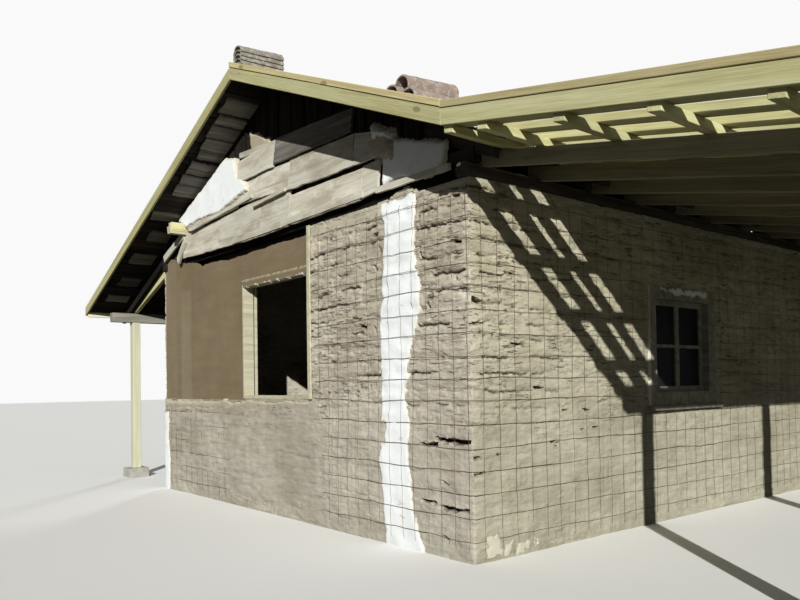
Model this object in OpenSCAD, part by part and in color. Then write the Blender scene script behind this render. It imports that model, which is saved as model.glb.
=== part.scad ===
// Adobe house with a timber roof frame and a porch along each long side.
// Millimetres. X runs across the gable, Y along the house, Z up, floor of the ground at 0.

/* [Walls] */
// Width of the gable wall over the outer faces
gable_w = 5100; // [4600:50:5600]
// Length of the side wall over the outer faces
house_l = 8650; // [7800:50:9600]
// Thickness of the adobe walls
wall_t = 450; // [380:10:550]
// Height of the adobe, from the ground
wall_h = 2520; // [2450:10:2700]
// Radius worn on the outer corners of the adobe
corner_r = 60; // [30:10:110]
// Height of the stone footing course
foot_h = 150; // [100:10:200]
// Thickness of the packed floor
floor_t = 110; // [60:10:140]

/* [Openings] */
// Gable window, distance of its left jamb from the left wall face
gwin_x = 1980; // [1700:10:2100]
// Gable window width
gwin_w = 1185; // [1000:5:1300]
// Gable window sill height
gwin_z = 1050; // [900:10:1150]
// Gable window height
gwin_h = 1105; // [950:5:1200]
// Side window, distance of its near jamb from the gable face
swin_y = 2050; // [1700:10:2300]
// Side window width
swin_w = 1075; // [900:5:1200]
// Side window sill height
swin_z = 955; // [850:5:1100]
// Side window height
swin_h = 1010; // [900:5:1150]
// Doorway, distance of its near jamb from the gable face
door_y = 5450; // [5000:50:5900]
// Doorway width
door_w = 900; // [800:10:1000]
// Doorway height from the ground
door_h = 2110; // [2000:10:2200]
// Thickness of the boards that line the gable window and the doorway
lining_t = 30; // [22:1:40]
// Depth of the gable window's lining
glining_d = 105; // [95:5:115]
// Depth of the doorway's lining
lining_d = 190; // [120:10:260]
// Face width of the side window's fixed frame
sframe_w = 114; // [95:1:125]
// Depth of the side window's fixed frame
sframe_d = 60; // [50:1:80]

/* [Plaster panel] */
// Depth the upper part of the gable wall is set back
recess_d = 40; // [25:5:60]
// Distance from the gable face to the back of the thin panel round the window
panel_d = 150; // [145:5:190]
// Thickness of the mud plaster in the set-back part
plaster_t = 25; // [10:1:25]
// Width of the upright batten that ends the plaster
batten_w = 40; // [25:5:60]

/* [Main roof] */
// Slope of the main roof in degrees
roof_deg = 23.1; // [21:0.1:25]
// Height of the rafter tops over the adobe, above the wall face
rafter_rise = 290; // [280:5:330]
// Depth of a main rafter
rafter_h = 125; // [110:5:140]
// Width of a main rafter
rafter_w = 50; // [40:5:60]
// Width of a tie beam
tie_w = 80; // [70:5:90]
// Depth of a tie beam
tie_h = 100; // [90:5:110]
// Height of the wall plates
plate_h = 100; // [90:5:110]
// Width of the wall plates
plate_w = 110; // [100:5:130]
// Diameter of the round pole on the right wall
pole_d = 118; // [112:1:130]
// Thickness of the ridge beam
ridge_w = 50; // [40:5:60]
// Depth of the ridge beam
ridge_h = 150; // [130:5:180]
// Right eave, distance from the wall face to the change of slope
break_u = 170; // [150:5:200]
// Left eave, distance from the wall face to the tip
left_u = 1580; // [1500:10:1700]
// How far the roof stands out in front of the gable
verge = 400; // [350:10:450]
// Thickness of a roof board
deck_t = 25; // [20:1:30]
// Number of boards on the right slope
deck_n = 16; // [12:1:18]
// Number of boards on the left slope
deck_n_left = 25; // [20:1:28]
// Gap between roof boards
deck_gap = 12; // [6:1:25]

/* [Gable] */
// Thickness of a gable board
gboard_t = 22; // [18:1:26]
// Height of the lowest gable board over the adobe
gboard_rise = 70; // [40:5:90]
// Width of a gable board
gboard_h = 262; // [240:2:280]
// Gap between gable boards
gboard_gap = 6; // [3:1:10]
// Thickness of an upright gable board
vboard_t = 22; // [18:1:26]
// Width of an upright gable board
vboard_w = 192; // [170:2:205]
// Pitch of the upright gable boards
vboard_pitch = 218; // [212:1:240]
// Number of upright boards each side of the middle
vboard_n = 9; // [7:1:9]
// Width of the lowest front board that is missing at its left end
gap_w = 790; // [600:10:900]

/* [Barge boards] */
// Face width of a barge board
barge_h = 102; // [90:2:120]
// Thickness of a barge board
barge_t = 25; // [20:1:30]
// Height of the strip on top of a barge board
strip_h = 44; // [35:1:55]
// Thickness of the strip
strip_t = 32; // [27:1:40]
// How far the barge board reaches below the roof boards
barge_drop = 25; // [15:1:35]

/* [Porch] */
// Slope of the right porch in degrees
porch_deg = 11.2; // [9.5:0.1:11.5]
// Reach of the porch planks from the wall face
porch_u = 2450; // [2400:10:2700]
// Number of rafter bays along the porch
bays = 14; // [12:2:16]
// Depth of a porch rafter
prafter_h = 105; // [95:5:115]
// Width of a porch rafter
prafter_w = 50; // [40:5:60]
// Depth of a porch purlin
purlin_h = 50; // [45:1:55]
// Width of a porch purlin
purlin_w = 76; // [60:2:90]
// Distance of the second purlin from the wall face
purlin_u = 452; // [400:4:520]
// Pitch of the porch purlins
purlin_pitch = 540; // [500:5:560]
// Thickness of a porch plank
plank_t = 45; // [38:1:50]
// Width of a porch plank
plank_w = 150; // [130:5:155]
// Width of an open plank near the gable
open_w = 115; // [95:5:150]
// Pitch of the open planks near the gable
plank_pitch = 272; // [255:1:290]
// Pitch of the closed planks
plank_close = 158; // [157:1:165]
// Side of a square post
post_s = 100; // [90:5:110]
// Distance of the right porch posts from the wall face
post_u = 2300; // [2250:5:2330]
// Distance of the left porch posts from the wall face
post_u_left = 1300; // [1250:5:1350]
// Number of posts on each porch
post_n = 5; // [4:1:6]
// Depth of a porch beam
beam_h = 120; // [100:5:140]
// How far the porch beams run past the end posts
beam_out = 310; // [250:10:350]
// Depth of a rafter of the left porch
lrafter_h = 98; // [90:2:102]
// Distance of the left purlin inside the left wall face
lpurlin_in = 645; // [600:5:700]
// Width of the left purlin
lpurlin_w = 75; // [60:5:90]
// Depth of the left purlin
lpurlin_h = 95; // [80:5:110]
// How far the left purlin runs out of the gable
lpurlin_out = 180; // [120:10:250]
// Thickness of the board that closes the left eave
eave_t = 50; // [40:5:60]
// Height of the board that closes the left eave
eave_h = 62; // [50:2:80]
// Side of the concrete block under a post
block_s = 250; // [220:10:300]
// Height of the concrete block
block_h = 120; // [90:5:150]

/* [Clay tiles] */
// Length of a barrel tile
tile_l = 430; // [400:10:460]
// Outer radius at the wide end
tile_r1 = 88; // [82:1:96]
// Outer radius at the narrow end
tile_r2 = 75; // [68:1:80]
// Thickness of the fired clay
tile_t = 13; // [11:1:16]
// Depth cut from the half round along the edges
tile_cut = 5; // [2:1:12]
// Tiles in the stack on the ridge
ridge_tiles = 7; // [3:1:8]
// Tiles in each of the two stacks on the slope
slope_tiles = 3; // [2:1:4]
// Distance of the stacks behind the barge face
tile_back = 75; // [60:5:200]
// Distance of the pile inside the right wall face
pile_u = -330; // [-600:10:-300]
// Distance of the single tile inside the right wall face
single_u = -750; // [-1200:10:-740]
// Distance of the loose pair outside the right wall face
loose_u = 330; // [290:10:900]

/* [Hidden] */
$fn = 48;
// roof slope values
rafter_z0 = wall_h + rafter_rise;
gboard_z = wall_h + gboard_rise;
rs = tan(roof_deg);
rc = cos(roof_deg);
ps = tan(porch_deg);
pc = cos(porch_deg);
// distance of the ridge from a wall face, negative inwards
ridge_u = -gable_w / 2;
// vertical depth of sloping members
rafter_v = rafter_h / rc;
deck_v = deck_t / rc;
barge_v = barge_h / rc;
strip_v = strip_h / rc;
prafter_v = prafter_h / pc;
purlin_v = purlin_h / pc;
pbarge_v = barge_h / pc;
pstrip_v = strip_h / pc;
// top of the wall plates and of the tie beams
plate_z = wall_h + plate_h;
tie_z = plate_z + tie_h;
// plates stand back from the wall face
plate_in = 10;
// lines of the main roof over u, the distance outwards from a wall face
function top_z(u) = rafter_z0 - rs * u;
function low_z(u) = top_z(u) - rafter_v;
function barge_low(u) = top_z(u) - barge_drop;
// lines of the porch roof
function pl_z(u) = plate_z - ps * (u + plate_w + plate_in);
function pt_z(u) = pl_z(u) + prafter_v;
function pbarge_low(u) = barge_low(break_u) - ps * (u - break_u);
// how far the porch planks start outside the change of slope
plank_in = 5;
// rows along the house
truss_n = bays / 2 + 1;
truss_y0 = gboard_t + vboard_t;
first_y = truss_y0 + tie_w;
pitch = (house_l - 2 * first_y - prafter_w) / bays;
function truss_y(j) = j == truss_n - 1 ? house_l - truss_y0 - tie_w : truss_y0 + 2 * pitch * j;
function prafter_y(k) = first_y + pitch * k;
post_pitch = (house_l - 2 * first_y - prafter_w) / (post_n - 1);
function post_y(k) = first_y + prafter_w / 2 + post_pitch * k;
deck_y0 = barge_t - verge;
deck_y1 = house_l + verge - barge_t;
beam_u0 = post_u - post_s / 2;
beam_top = pl_z(beam_u0);
lbeam_u0 = post_u_left - post_s / 2;
lbeam_top = low_z(lbeam_u0);
tip_u = porch_u + 50;
// the row frame stands under the middle of the bounding box
x_mid = (tip_u - gable_w - left_u) / 2;
y_mid = house_l / 2;
// colours
mud = [0.47, 0.36, 0.25];
mud2 = [0.45, 0.33, 0.22];
stone = [0.62, 0.61, 0.58];
old_wood = [0.33, 0.24, 0.17];
new_wood = [0.72, 0.68, 0.46];
pale_wood = [0.70, 0.60, 0.42];
clay = [0.62, 0.34, 0.22];

// helpers
// u is measured outwards from the right wall face, which lies at x = 0
module place() {
    translate([-x_mid, -y_mid, 0]) children();
}
// the same member on the left side
module left() {
    translate([-gable_w, 0, 0]) mirror([1, 0, 0]) children();
}
// the same member at the back
module back() {
    translate([0, house_l, 0]) mirror([0, 1, 0]) children();
}
// flat profile in X and Z, run along Y from y0 over a width w
module run_y(pts, y0, w) {
    translate([0, y0 + w, 0]) rotate([90, 0, 0]) linear_extrude(w) polygon(pts);
}
module box(x, y, z, w, d, h) {
    translate([x, y, z]) cube([w, d, h]);
}

// walls
module wall_footing() {
    color(stone) difference() {
        linear_extrude(foot_h) {
            gable_plan();
            translate([0, house_l]) mirror([0, 1]) gable_plan();
            for (x = [-gable_w, -wall_t])
                translate([x, wall_t - 1]) square([wall_t, house_l - 2 * wall_t + 2]);
        }
        box(-wall_t - 10, door_y, floor_t, wall_t + 20, door_w, foot_h);
    }
}
module packed_floor() {
    color(mud2) box(-gable_w + wall_t, wall_t, 0, gable_w - 2 * wall_t, house_l - 2 * wall_t, floor_t);
}
// outline of a gable wall with both outer corners worn round
module gable_plan() {
    difference() {
        translate([-gable_w, 0]) square([gable_w, wall_t]);
        for (m = [0, 1]) translate([-m * gable_w, 0]) mirror([m, 0]) difference() {
            translate([-corner_r, -1]) square([corner_r + 1, corner_r + 1]);
            translate([-corner_r, corner_r]) circle(corner_r);
        }
    }
}
module gable_wall() {
    difference() {
        translate([0, 0, foot_h]) linear_extrude(wall_h - foot_h) gable_plan();
        box(-gable_w + gwin_x, -1, gwin_z, gwin_w, wall_t + 2, gwin_h);
        // the upper left part is set back for its plaster
        box(-gable_w - 1, -1, ledge_z, gwin_x + 1, recess_d + 1, wall_h);
        box(-gable_w - 1, -1, gwin_z + gwin_h, gwin_x + gwin_w + 1, recess_d + 1, wall_h);
        // behind the plaster and round the window it is a thin panel
        box(-gable_w + wall_t, panel_d, ledge_z, gwin_x + gwin_w - wall_t, wall_t, wall_h);
    }
}
module front_gable_wall() {
    color(mud) gable_wall();
}
module back_gable_wall() {
    color(mud) back() gable_wall();
}
module side_wall(has_door) {
    difference() {
        box(-wall_t, wall_t, foot_h, wall_t, house_l - 2 * wall_t, wall_h - foot_h);
        box(-wall_t - 1, swin_y, swin_z, wall_t + 2, swin_w, swin_h);
        if (has_door) box(-wall_t - 1, door_y, foot_h - 1, wall_t + 2, door_w, door_h - foot_h + 1);
    }
}
module right_side_wall() {
    color(mud) side_wall(true);
}
module left_side_wall() {
    color(mud) left() side_wall(false);
}
// height of the ledge at the foot of the set-back part
ledge_z = gwin_z - 20;
module plaster_one() {
    y0 = recess_d - plaster_t;
    head_z = gwin_z + gwin_h;
    box(-gable_w + corner_r, y0, ledge_z, gwin_x - corner_r, plaster_t, wall_h - ledge_z);
    box(-gable_w + gwin_x - 1, y0, head_z, gwin_w + 1, plaster_t, wall_h - head_z);
}
module gable_plaster() {
    color(mud2) {
        plaster_one();
        back() plaster_one();
    }
}
batten_t = 15;
module batten_one() {
    box(-gable_w + gwin_x + gwin_w, -batten_t, gwin_z, batten_w, batten_t, wall_h - gwin_z);
}
module plaster_battens() {
    color(pale_wood) {
        batten_one();
        back() batten_one();
    }
}

// windows and doorway
// a frame of boards in the gable window's hole, from depth y over a depth d
module gable_ring(y, d, t) {
    difference() {
        box(-gable_w + gwin_x, y, gwin_z, gwin_w, d, gwin_h);
        box(-gable_w + gwin_x + t, y - 1, gwin_z + t, gwin_w - 2 * t, d + 2, gwin_h - 2 * t);
    }
}
// the lining, and a narrow stop frame behind it
stop_t = 22;
stop_d = 25;
module gable_lining() {
    gable_ring(0, glining_d, lining_t);
    gable_ring(panel_d - stop_d, stop_d, stop_t);
}
module gable_window_linings() {
    color(pale_wood) {
        gable_lining();
        back() gable_lining();
    }
}
module side_lining() {
    difference() {
        box(-sframe_d, swin_y, swin_z, sframe_d, swin_w, swin_h);
        box(-sframe_d - 1, swin_y + sframe_w, swin_z + sframe_w,
            sframe_d + 2, swin_w - 2 * sframe_w, swin_h - 2 * sframe_w);
    }
}
module side_window_linings() {
    color(pale_wood) {
        side_lining();
        left() side_lining();
    }
}
// two leaves bear on the back of the fixed frame: thickness, border, meeting stiles and glazing bar
sash_t = 40;
sash_b = sframe_w + 46;
meet_b = 57;
bar_b = 28;
sash_x = -sframe_d - sash_t;
pane_w = (swin_w - 2 * sash_b - meet_b) / 2;
pane_h = (swin_h - 2 * sash_b - bar_b) / 2;
// the four panes, from depth x0 over a thickness t
module pane_grid(x0, t) {
    for (i = [0, 1], j = [0, 1])
        box(x0, swin_y + sash_b + i * (pane_w + meet_b), swin_z + sash_b + j * (pane_h + bar_b),
            t, pane_w, pane_h);
}
module side_sash() {
    difference() {
        box(sash_x, swin_y, swin_z, sash_t, swin_w, swin_h);
        pane_grid(sash_x - 1, sash_t + 2);
    }
}
module side_window_sashes() {
    color(pale_wood) {
        side_sash();
        left() side_sash();
    }
}
glass_t = 4;
module side_panes() {
    pane_grid(sash_x + (sash_t - glass_t) / 2, glass_t);
}
module side_window_panes() {
    color([0.35, 0.4, 0.42, 0.5]) {
        side_panes();
        left() side_panes();
    }
}
sill_side = 40;
sill_out = 45;
sill_h = 35;
module side_sill() {
    box(0, swin_y - sill_side, swin_z - sill_h, sill_out, swin_w + 2 * sill_side, sill_h);
}
module side_window_sills() {
    color(pale_wood) {
        side_sill();
        left() side_sill();
    }
}
module doorway_lining() {
    color(pale_wood) difference() {
        box(-lining_d, door_y, floor_t, lining_d, door_w, door_h - floor_t);
        box(-lining_d - 1, door_y + lining_t, floor_t - 1,
            lining_d + 2, door_w - 2 * lining_t, door_h - floor_t - lining_t + 1);
    }
}

// plates and trusses
module right_wall_pole() {
    xc = -plate_in - plate_w / 2;
    color(old_wood) intersection() {
        translate([xc, 0, wall_h + plate_h / 2]) rotate([-90, 0, 0]) cylinder(d = pole_d, h = house_l);
        box(xc - plate_w / 2, -1, wall_h, plate_w, house_l + 2, plate_h);
    }
}
module left_wall_plate() {
    color(old_wood) left() box(-plate_in - plate_w, 0, wall_h, plate_w, house_l, plate_h);
}
module gable_plate() {
    in = plate_in + plate_w;
    box(-gable_w + in, gboard_t, wall_h, gable_w - 2 * in, plate_w, plate_h);
}
module gable_plates() {
    color(old_wood) {
        gable_plate();
        back() gable_plate();
    }
}
module tie_beams() {
    color(old_wood) for (j = [0 : truss_n - 1])
        box(-gable_w, truss_y(j), plate_z, gable_w, tie_w, tie_h);
}
module king_posts() {
    color(old_wood) for (j = [0 : truss_n - 1])
        box(ridge_u - tie_w / 2, truss_y(j), tie_z, tie_w, tie_w,
            top_z(ridge_u + ridge_w / 2) - ridge_h - tie_z);
}
module ridge_beam() {
    z = top_z(ridge_u + ridge_w / 2);
    color(old_wood) box(ridge_u - ridge_w / 2, truss_y0, z - ridge_h,
        ridge_w, house_l - 2 * truss_y0, ridge_h);
}
// head of a rafter at the ridge, seat on the tie beam, then its tail
function rafter_head() = [
    [ridge_u + ridge_w / 2, low_z(ridge_u + ridge_w / 2)],
    [ridge_u + ridge_w / 2, top_z(ridge_u + ridge_w / 2)]
];
seat_u = (low_z(0) - tie_z) / rs;
function rafter_seat() = [[0, low_z(0)], [0, tie_z], [seat_u, tie_z]];
// the left purlin is let halfway into the rafters
lpurlin_top = low_z(-lpurlin_in - lpurlin_w / 2);
module right_rafters() {
    pts = concat(rafter_head(), [[break_u, top_z(break_u)], [break_u, low_z(break_u)]], rafter_seat());
    color(old_wood) for (j = [0 : truss_n - 1])
        run_y(pts, truss_y(j) + (tie_w - rafter_w) / 2, rafter_w);
}
module left_rafters() {
    end = left_u - eave_t;
    b1 = lbeam_u0 + post_s;
    pts = concat(rafter_head(),
        [[end, top_z(end)], [end, low_z(end)], [b1, low_z(b1)], [b1, lbeam_top], [lbeam_u0, lbeam_top]],
        rafter_seat(),
        [[-lpurlin_in, low_z(-lpurlin_in)], [-lpurlin_in, lpurlin_top],
         [-lpurlin_in - lpurlin_w / 2, lpurlin_top]]);
    color(old_wood) left() for (j = [0 : truss_n - 1])
        run_y(pts, truss_y(j) + (tie_w - rafter_w) / 2, rafter_w);
}

// gables
// room round a member that passes through boards
slot_gap = 2;
module purlin_slot() {
    left() box(-lpurlin_in - lpurlin_w - slot_gap, -lpurlin_out, lpurlin_top - lpurlin_h - slot_gap,
        lpurlin_w + 2 * slot_gap, house_l + 2 * lpurlin_out, lpurlin_h + 2 * slot_gap);
}
// boards nailed upright on the end trusses
// the first ones may be missing
module upright_set(skip) {
    for (i = [skip : 2 * vboard_n]) {
        a = ridge_u + (i - vboard_n) * vboard_pitch - vboard_w / 2;
        b = a + vboard_w;
        m = ridge_u;
        za = top_z(ridge_u + abs(a - m));
        zb = top_z(ridge_u + abs(b - m));
        pts = a < m && b > m
            ? [[a, plate_z], [b, plate_z], [b, zb], [m, top_z(ridge_u)], [a, za]]
            : [[a, plate_z], [b, plate_z], [b, zb], [a, za]];
        run_y(pts, gboard_t, vboard_t);
    }
}
module upright_gable_boards() {
    color(old_wood) difference() {
        union() {
            upright_set(1);
            back() upright_set(0);
        }
        purlin_slot();
    }
}
// boards laid level over the lower gable, their left ends cut short by row
module gable_board_set(short) {
    for (i = [0 : 2]) {
        z0 = gboard_z + i * (gboard_h + gboard_gap);
        z1 = z0 + gboard_h;
        w0 = min(gable_w / 2, gable_w / 2 - (z0 - low_z(0)) / rs);
        w1 = gable_w / 2 - (z1 - low_z(0)) / rs;
        zc = max(z0, low_z(0));
        pts = [[ridge_u + w0, z0], [ridge_u + w0, zc], [ridge_u + w1, z1],
               [ridge_u - w1, z1], [ridge_u - w0, zc], [ridge_u - w0, z0]];
        cut = -gable_w + short[i];
        intersection() {
            run_y(pts, 0, gboard_t);
            box(cut, -1, z0, gable_w, gboard_t + 2, gboard_h);
        }
    }
}
module gable_boards() {
    purlin_end = lpurlin_in + lpurlin_w + slot_gap;
    color(old_wood) {
        gable_board_set([gap_w, gap_w, purlin_end]);
        back() gable_board_set([0, purlin_end, purlin_end]);
    }
}

// roof boards
// boards laid along the house, from u0 to u1 down one slope
module deck(u0, u1, n) {
    step = (u1 - u0) / n;
    g = deck_gap * rc;
    for (i = [0 : n - 1]) {
        a = u0 + i * step;
        b = a + step - g;
        run_y([[a, top_z(a)], [b, top_z(b)], [b, top_z(b) + deck_v], [a, top_z(a) + deck_v]],
            deck_y0, deck_y1 - deck_y0);
    }
}
module right_roof_boards() {
    color(old_wood) deck(ridge_u, break_u, deck_n);
}
// boards of the older roof under the left verge: place down the slope, width, reach past the gable
old_t = 20;
old_boards = [
    [-2340, 175, 315], [-2125, 100, 300], [-1990, 150, 290], [-1820, 145, 285], [-1665, 130, 262],
    [-1470, 160, 278], [-1260, 120, 280], [-1115, 170, 276], [-640, 120, 345], [-300, 170, 242],
    [150, 190, 268], [660, 165, 245], [1080, 120, 267]
];
// they hang by their nails, hardly touching the boards above
nail_gap = 0.2;
module old_eave_boards() {
    for (b = old_boards) {
        u1 = b[0] + b[1];
        za = top_z(b[0]) - nail_gap;
        zb = top_z(u1) - nail_gap;
        run_y([[b[0], za - old_t / rc], [u1, zb - old_t / rc], [u1, zb], [b[0], za]], -b[2], b[2]);
    }
}
module left_roof_boards() {
    color(old_wood) left() {
        deck(ridge_u + 4, left_u, deck_n_left);
        old_eave_boards();
    }
}

// barge boards
module barge(u1) {
    run_y([[ridge_u, barge_low(ridge_u)], [u1, barge_low(u1)], [u1, barge_low(u1) + barge_v],
           [ridge_u, barge_low(ridge_u) + barge_v]], -verge, barge_t);
}
module left_barge_boards() {
    color(new_wood) left() {
        barge(left_u);
        back() barge(left_u);
    }
}
module right_barge_boards() {
    color(new_wood) {
        barge(break_u);
        back() barge(break_u);
    }
}
module right_strip() {
    z0 = barge_low(ridge_u) + barge_v;
    z1 = barge_low(break_u) + barge_v;
    run_y([[ridge_u, z0], [break_u, z1], [break_u, z1 + strip_v], [ridge_u, z0 + strip_v]],
        -verge + barge_t - strip_t, strip_t);
}
module right_barge_strips() {
    color(new_wood) {
        right_strip();
        back() right_strip();
    }
}
module porch_barge() {
    run_y([[break_u, pbarge_low(break_u)], [tip_u, pbarge_low(tip_u)],
           [tip_u, pbarge_low(tip_u) + pbarge_v], [break_u, pbarge_low(break_u) + pbarge_v]],
        -verge, barge_t);
}
module porch_barge_boards() {
    color(new_wood) {
        porch_barge();
        back() porch_barge();
    }
}
module porch_strip() {
    z0 = pbarge_low(break_u) + pbarge_v;
    z1 = pbarge_low(tip_u) + pbarge_v;
    run_y([[break_u, z0], [tip_u, z1], [tip_u, z1 + pstrip_v], [break_u, z0 + pstrip_v]],
        -verge + barge_t - strip_t, strip_t);
}
module porch_barge_strips() {
    color(new_wood) {
        porch_strip();
        back() porch_strip();
    }
}

// right porch
module porch_rafters() {
    u0 = -plate_in - plate_w;
    b1 = beam_u0 + post_s;
    pts = [
        [u0, pl_z(u0)], [-plate_in, plate_z], [-plate_in, pl_z(-plate_in)],
        [beam_u0, beam_top], [b1, beam_top], [b1, pl_z(b1)],
        [porch_u, pl_z(porch_u)], [porch_u, pt_z(porch_u)], [u0, pt_z(u0)]
    ];
    color(pale_wood) for (k = [0 : bays]) run_y(pts, prafter_y(k), prafter_w);
}
// inner edges of the purlins
purlin_as = concat([break_u + plank_in], [for (i = [0 : 3]) purlin_u + i * purlin_pitch],
    [porch_u - purlin_w]);
module porch_purlins() {
    color(pale_wood) for (a = purlin_as) {
        b = a + purlin_w;
        run_y([[a, pt_z(a)], [b, pt_z(b)], [b, pt_z(b) + purlin_v], [a, pt_z(a) + purlin_v]],
            deck_y0, deck_y1 - deck_y0);
    }
}
open_n = 3;
module porch_plank(y, w) {
    a = break_u + plank_in;
    b = porch_u;
    v = plank_t / pc;
    z = purlin_v;
    run_y([[a, pt_z(a) + z], [b, pt_z(b) + z], [b, pt_z(b) + z + v], [a, pt_z(a) + z + v]], y, w);
}
close_y = deck_y0 + open_n * plank_pitch;
close_n = floor((deck_y1 - close_y) / plank_close);
module porch_planks() {
    color(pale_wood) {
        for (i = [0 : open_n - 1]) porch_plank(deck_y0 + i * plank_pitch, open_w);
        for (i = [0 : close_n - 1]) porch_plank(close_y + i * plank_close, plank_w);
    }
}
module right_porch_beam() {
    color(pale_wood) box(beam_u0, post_y(0) - beam_out, beam_top - beam_h, post_s,
        house_l - 2 * post_y(0) + 2 * beam_out, beam_h);
}
module right_porch_posts() {
    color(pale_wood) for (k = [0 : post_n - 1])
        box(beam_u0, post_y(k) - post_s / 2, block_h, post_s, post_s, beam_top - beam_h - block_h);
}

// left porch
module left_porch_beam() {
    color(pale_wood) left() box(lbeam_u0, post_y(0) - beam_out, lbeam_top - beam_h, post_s,
        house_l - 2 * post_y(0) + 2 * beam_out, beam_h);
}
module left_porch_posts() {
    color(pale_wood) left() for (k = [0 : post_n - 1])
        box(lbeam_u0, post_y(k) - post_s / 2, block_h, post_s, post_s, lbeam_top - beam_h - block_h);
}
// new rafters from the left wall plate down to the porch beam
lr_u0 = -plate_in - plate_w;
lr_s = (plate_z - lbeam_top) / (lbeam_u0 - lr_u0);
lrafter_v = lrafter_h * sqrt(1 + lr_s * lr_s);
function lr_z(u) = plate_z - lr_s * (u - lr_u0);
module left_porch_rafters() {
    b1 = lbeam_u0 + post_s;
    pts = [
        [lr_u0, plate_z], [-plate_in, plate_z], [-plate_in, lr_z(-plate_in)],
        [lbeam_u0, lbeam_top], [b1, lbeam_top], [b1, lr_z(b1) + lrafter_v],
        [lr_u0, plate_z + lrafter_v]
    ];
    color(new_wood) left() for (j = [0 : truss_n - 1])
        run_y(pts, prafter_y(2 * j), prafter_w);
}
module left_purlin() {
    color(new_wood) left() box(-lpurlin_in - lpurlin_w, -lpurlin_out, lpurlin_top - lpurlin_h,
        lpurlin_w, house_l + 2 * lpurlin_out, lpurlin_h);
}
module left_eave_board() {
    a = left_u - eave_t;
    color(pale_wood) left() run_y([[a, top_z(a) - eave_h], [left_u, top_z(a) - eave_h],
        [left_u, top_z(left_u)], [a, top_z(a)]], deck_y0, deck_y1 - deck_y0);
}
module post_blocks() {
    color(stone) {
        for (k = [0 : post_n - 1]) {
            box(post_u - block_s / 2, post_y(k) - block_s / 2, 0, block_s, block_s, block_h);
            left() box(post_u_left - block_s / 2, post_y(k) - block_s / 2, 0, block_s, block_s, block_h);
        }
    }
}

// stacked clay tiles
// a tapered half-round tile lying along Y, its edges at z = 0 and its narrow end at y = 0
module tile() {
    translate([0, 0, -tile_cut]) rotate([-90, 0, 0]) intersection() {
        difference() {
            cylinder(r1 = tile_r2, r2 = tile_r1, h = tile_l);
            translate([0, 0, -1])
                cylinder(r1 = tile_r2 - tile_t - slip, r2 = tile_r1 - tile_t + slip, h = tile_l + 2);
        }
        translate([-2 * tile_r1, -2 * tile_r1, -2]) cube([4 * tile_r1, 2 * tile_r1 - tile_cut, tile_l + 4]);
    }
}
// change of radius over the 1 mm by which the bore cutter runs past each end
slip = (tile_r1 - tile_r2) / tile_l;
// how far a nested tile stands over the one below, at a radius
function nest(r) = -tile_cut + sqrt(r * r - (r - tile_t) * (r - tile_t) + tile_cut * tile_cut);
// half width of a tile at its edges, at a radius
function half_w(r) = sqrt(r * r - tile_cut * tile_cut);
// bedding gap between two tiles
bed = 0.2;
nest_z = nest(tile_r2) + bed;
nest_a = atan((nest(tile_r1) - nest(tile_r2)) / tile_l);
module nested(n) {
    for (i = [0 : n - 1]) translate([0, 0, i * nest_z]) rotate([i * nest_a, 0, 0]) tile();
}
tile_y = -verge + tile_back;
// the stack stands astride the ridge, tipped so that both ends bear
module ridge_tile_stack() {
    // the inner edges of the rim bear on the two slopes
    w1 = half_w(tile_r1 - tile_t);
    w2 = half_w(tile_r2 - tile_t);
    z = top_z(ridge_u) + deck_v - rs * w2 + bed;
    color(clay) translate([ridge_u, tile_y, z]) rotate([-atan(rs * (w1 - w2) / tile_l), 0, 0])
        nested(ridge_tiles);
}
// two nested stacks side by side with one tile across their crowns
pile_gap = 8;
module tile_pile() {
    c = tile_r1 + pile_gap / 2;
    function crown(r) = sqrt(r * r - pow(c - half_w(r), 2)) - tile_cut + (slope_tiles - 1) * nest(r);
    beds = (slope_tiles + 1.5) * bed;
    z1 = crown(tile_r1) + beds;
    z2 = crown(tile_r2) + beds;
    for (s = [-1, 1]) translate([s * c, 0, 0]) nested(slope_tiles);
    translate([0, 0, z2]) rotate([atan((z1 - z2) / tile_l), 0, 0]) tile();
}
module on_slope(u) {
    translate([u, tile_y, top_z(u) + deck_v]) rotate([0, roof_deg, 0]) children();
}
module slope_tile_pile() {
    color(clay) {
        on_slope(pile_u) tile_pile();
        on_slope(single_u) tile();
    }
}
// the loose pair bears on the first two open planks
loose_bear = 20;
module loose_tiles() {
    z = pt_z(loose_u) + purlin_v + plank_t / pc;
    color(clay) translate([loose_u, deck_y0 + open_w - loose_bear, z]) rotate([0, porch_deg, 0])
        nested(2);
}

place() wall_footing();
place() packed_floor();
place() front_gable_wall();
place() back_gable_wall();
place() right_side_wall();
place() left_side_wall();
place() gable_plaster();
place() plaster_battens();
place() gable_window_linings();
place() side_window_linings();
place() side_window_sashes();
place() side_window_panes();
place() side_window_sills();
place() doorway_lining();
place() right_wall_pole();
place() left_wall_plate();
place() gable_plates();
place() tie_beams();
place() king_posts();
place() ridge_beam();
place() right_rafters();
place() left_rafters();
place() upright_gable_boards();
place() gable_boards();
place() right_roof_boards();
place() left_roof_boards();
place() left_barge_boards();
place() right_barge_boards();
place() right_barge_strips();
place() porch_barge_boards();
place() porch_barge_strips();
place() porch_rafters();
place() porch_purlins();
place() porch_planks();
place() right_porch_beam();
place() right_porch_posts();
place() left_porch_beam();
place() left_porch_posts();
place() left_porch_rafters();
place() left_purlin();
place() left_eave_board();
place() post_blocks();
place() ridge_tile_stack();
place() slope_tile_pile();
place() loose_tiles();
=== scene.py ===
"""Looks of the adobe house: eroded mud walls under wire mesh, weathered boards, new pine and clay tiles."""

import math

import bmesh
import bpy
import numpy as np
from mathutils import Matrix, Vector


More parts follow.
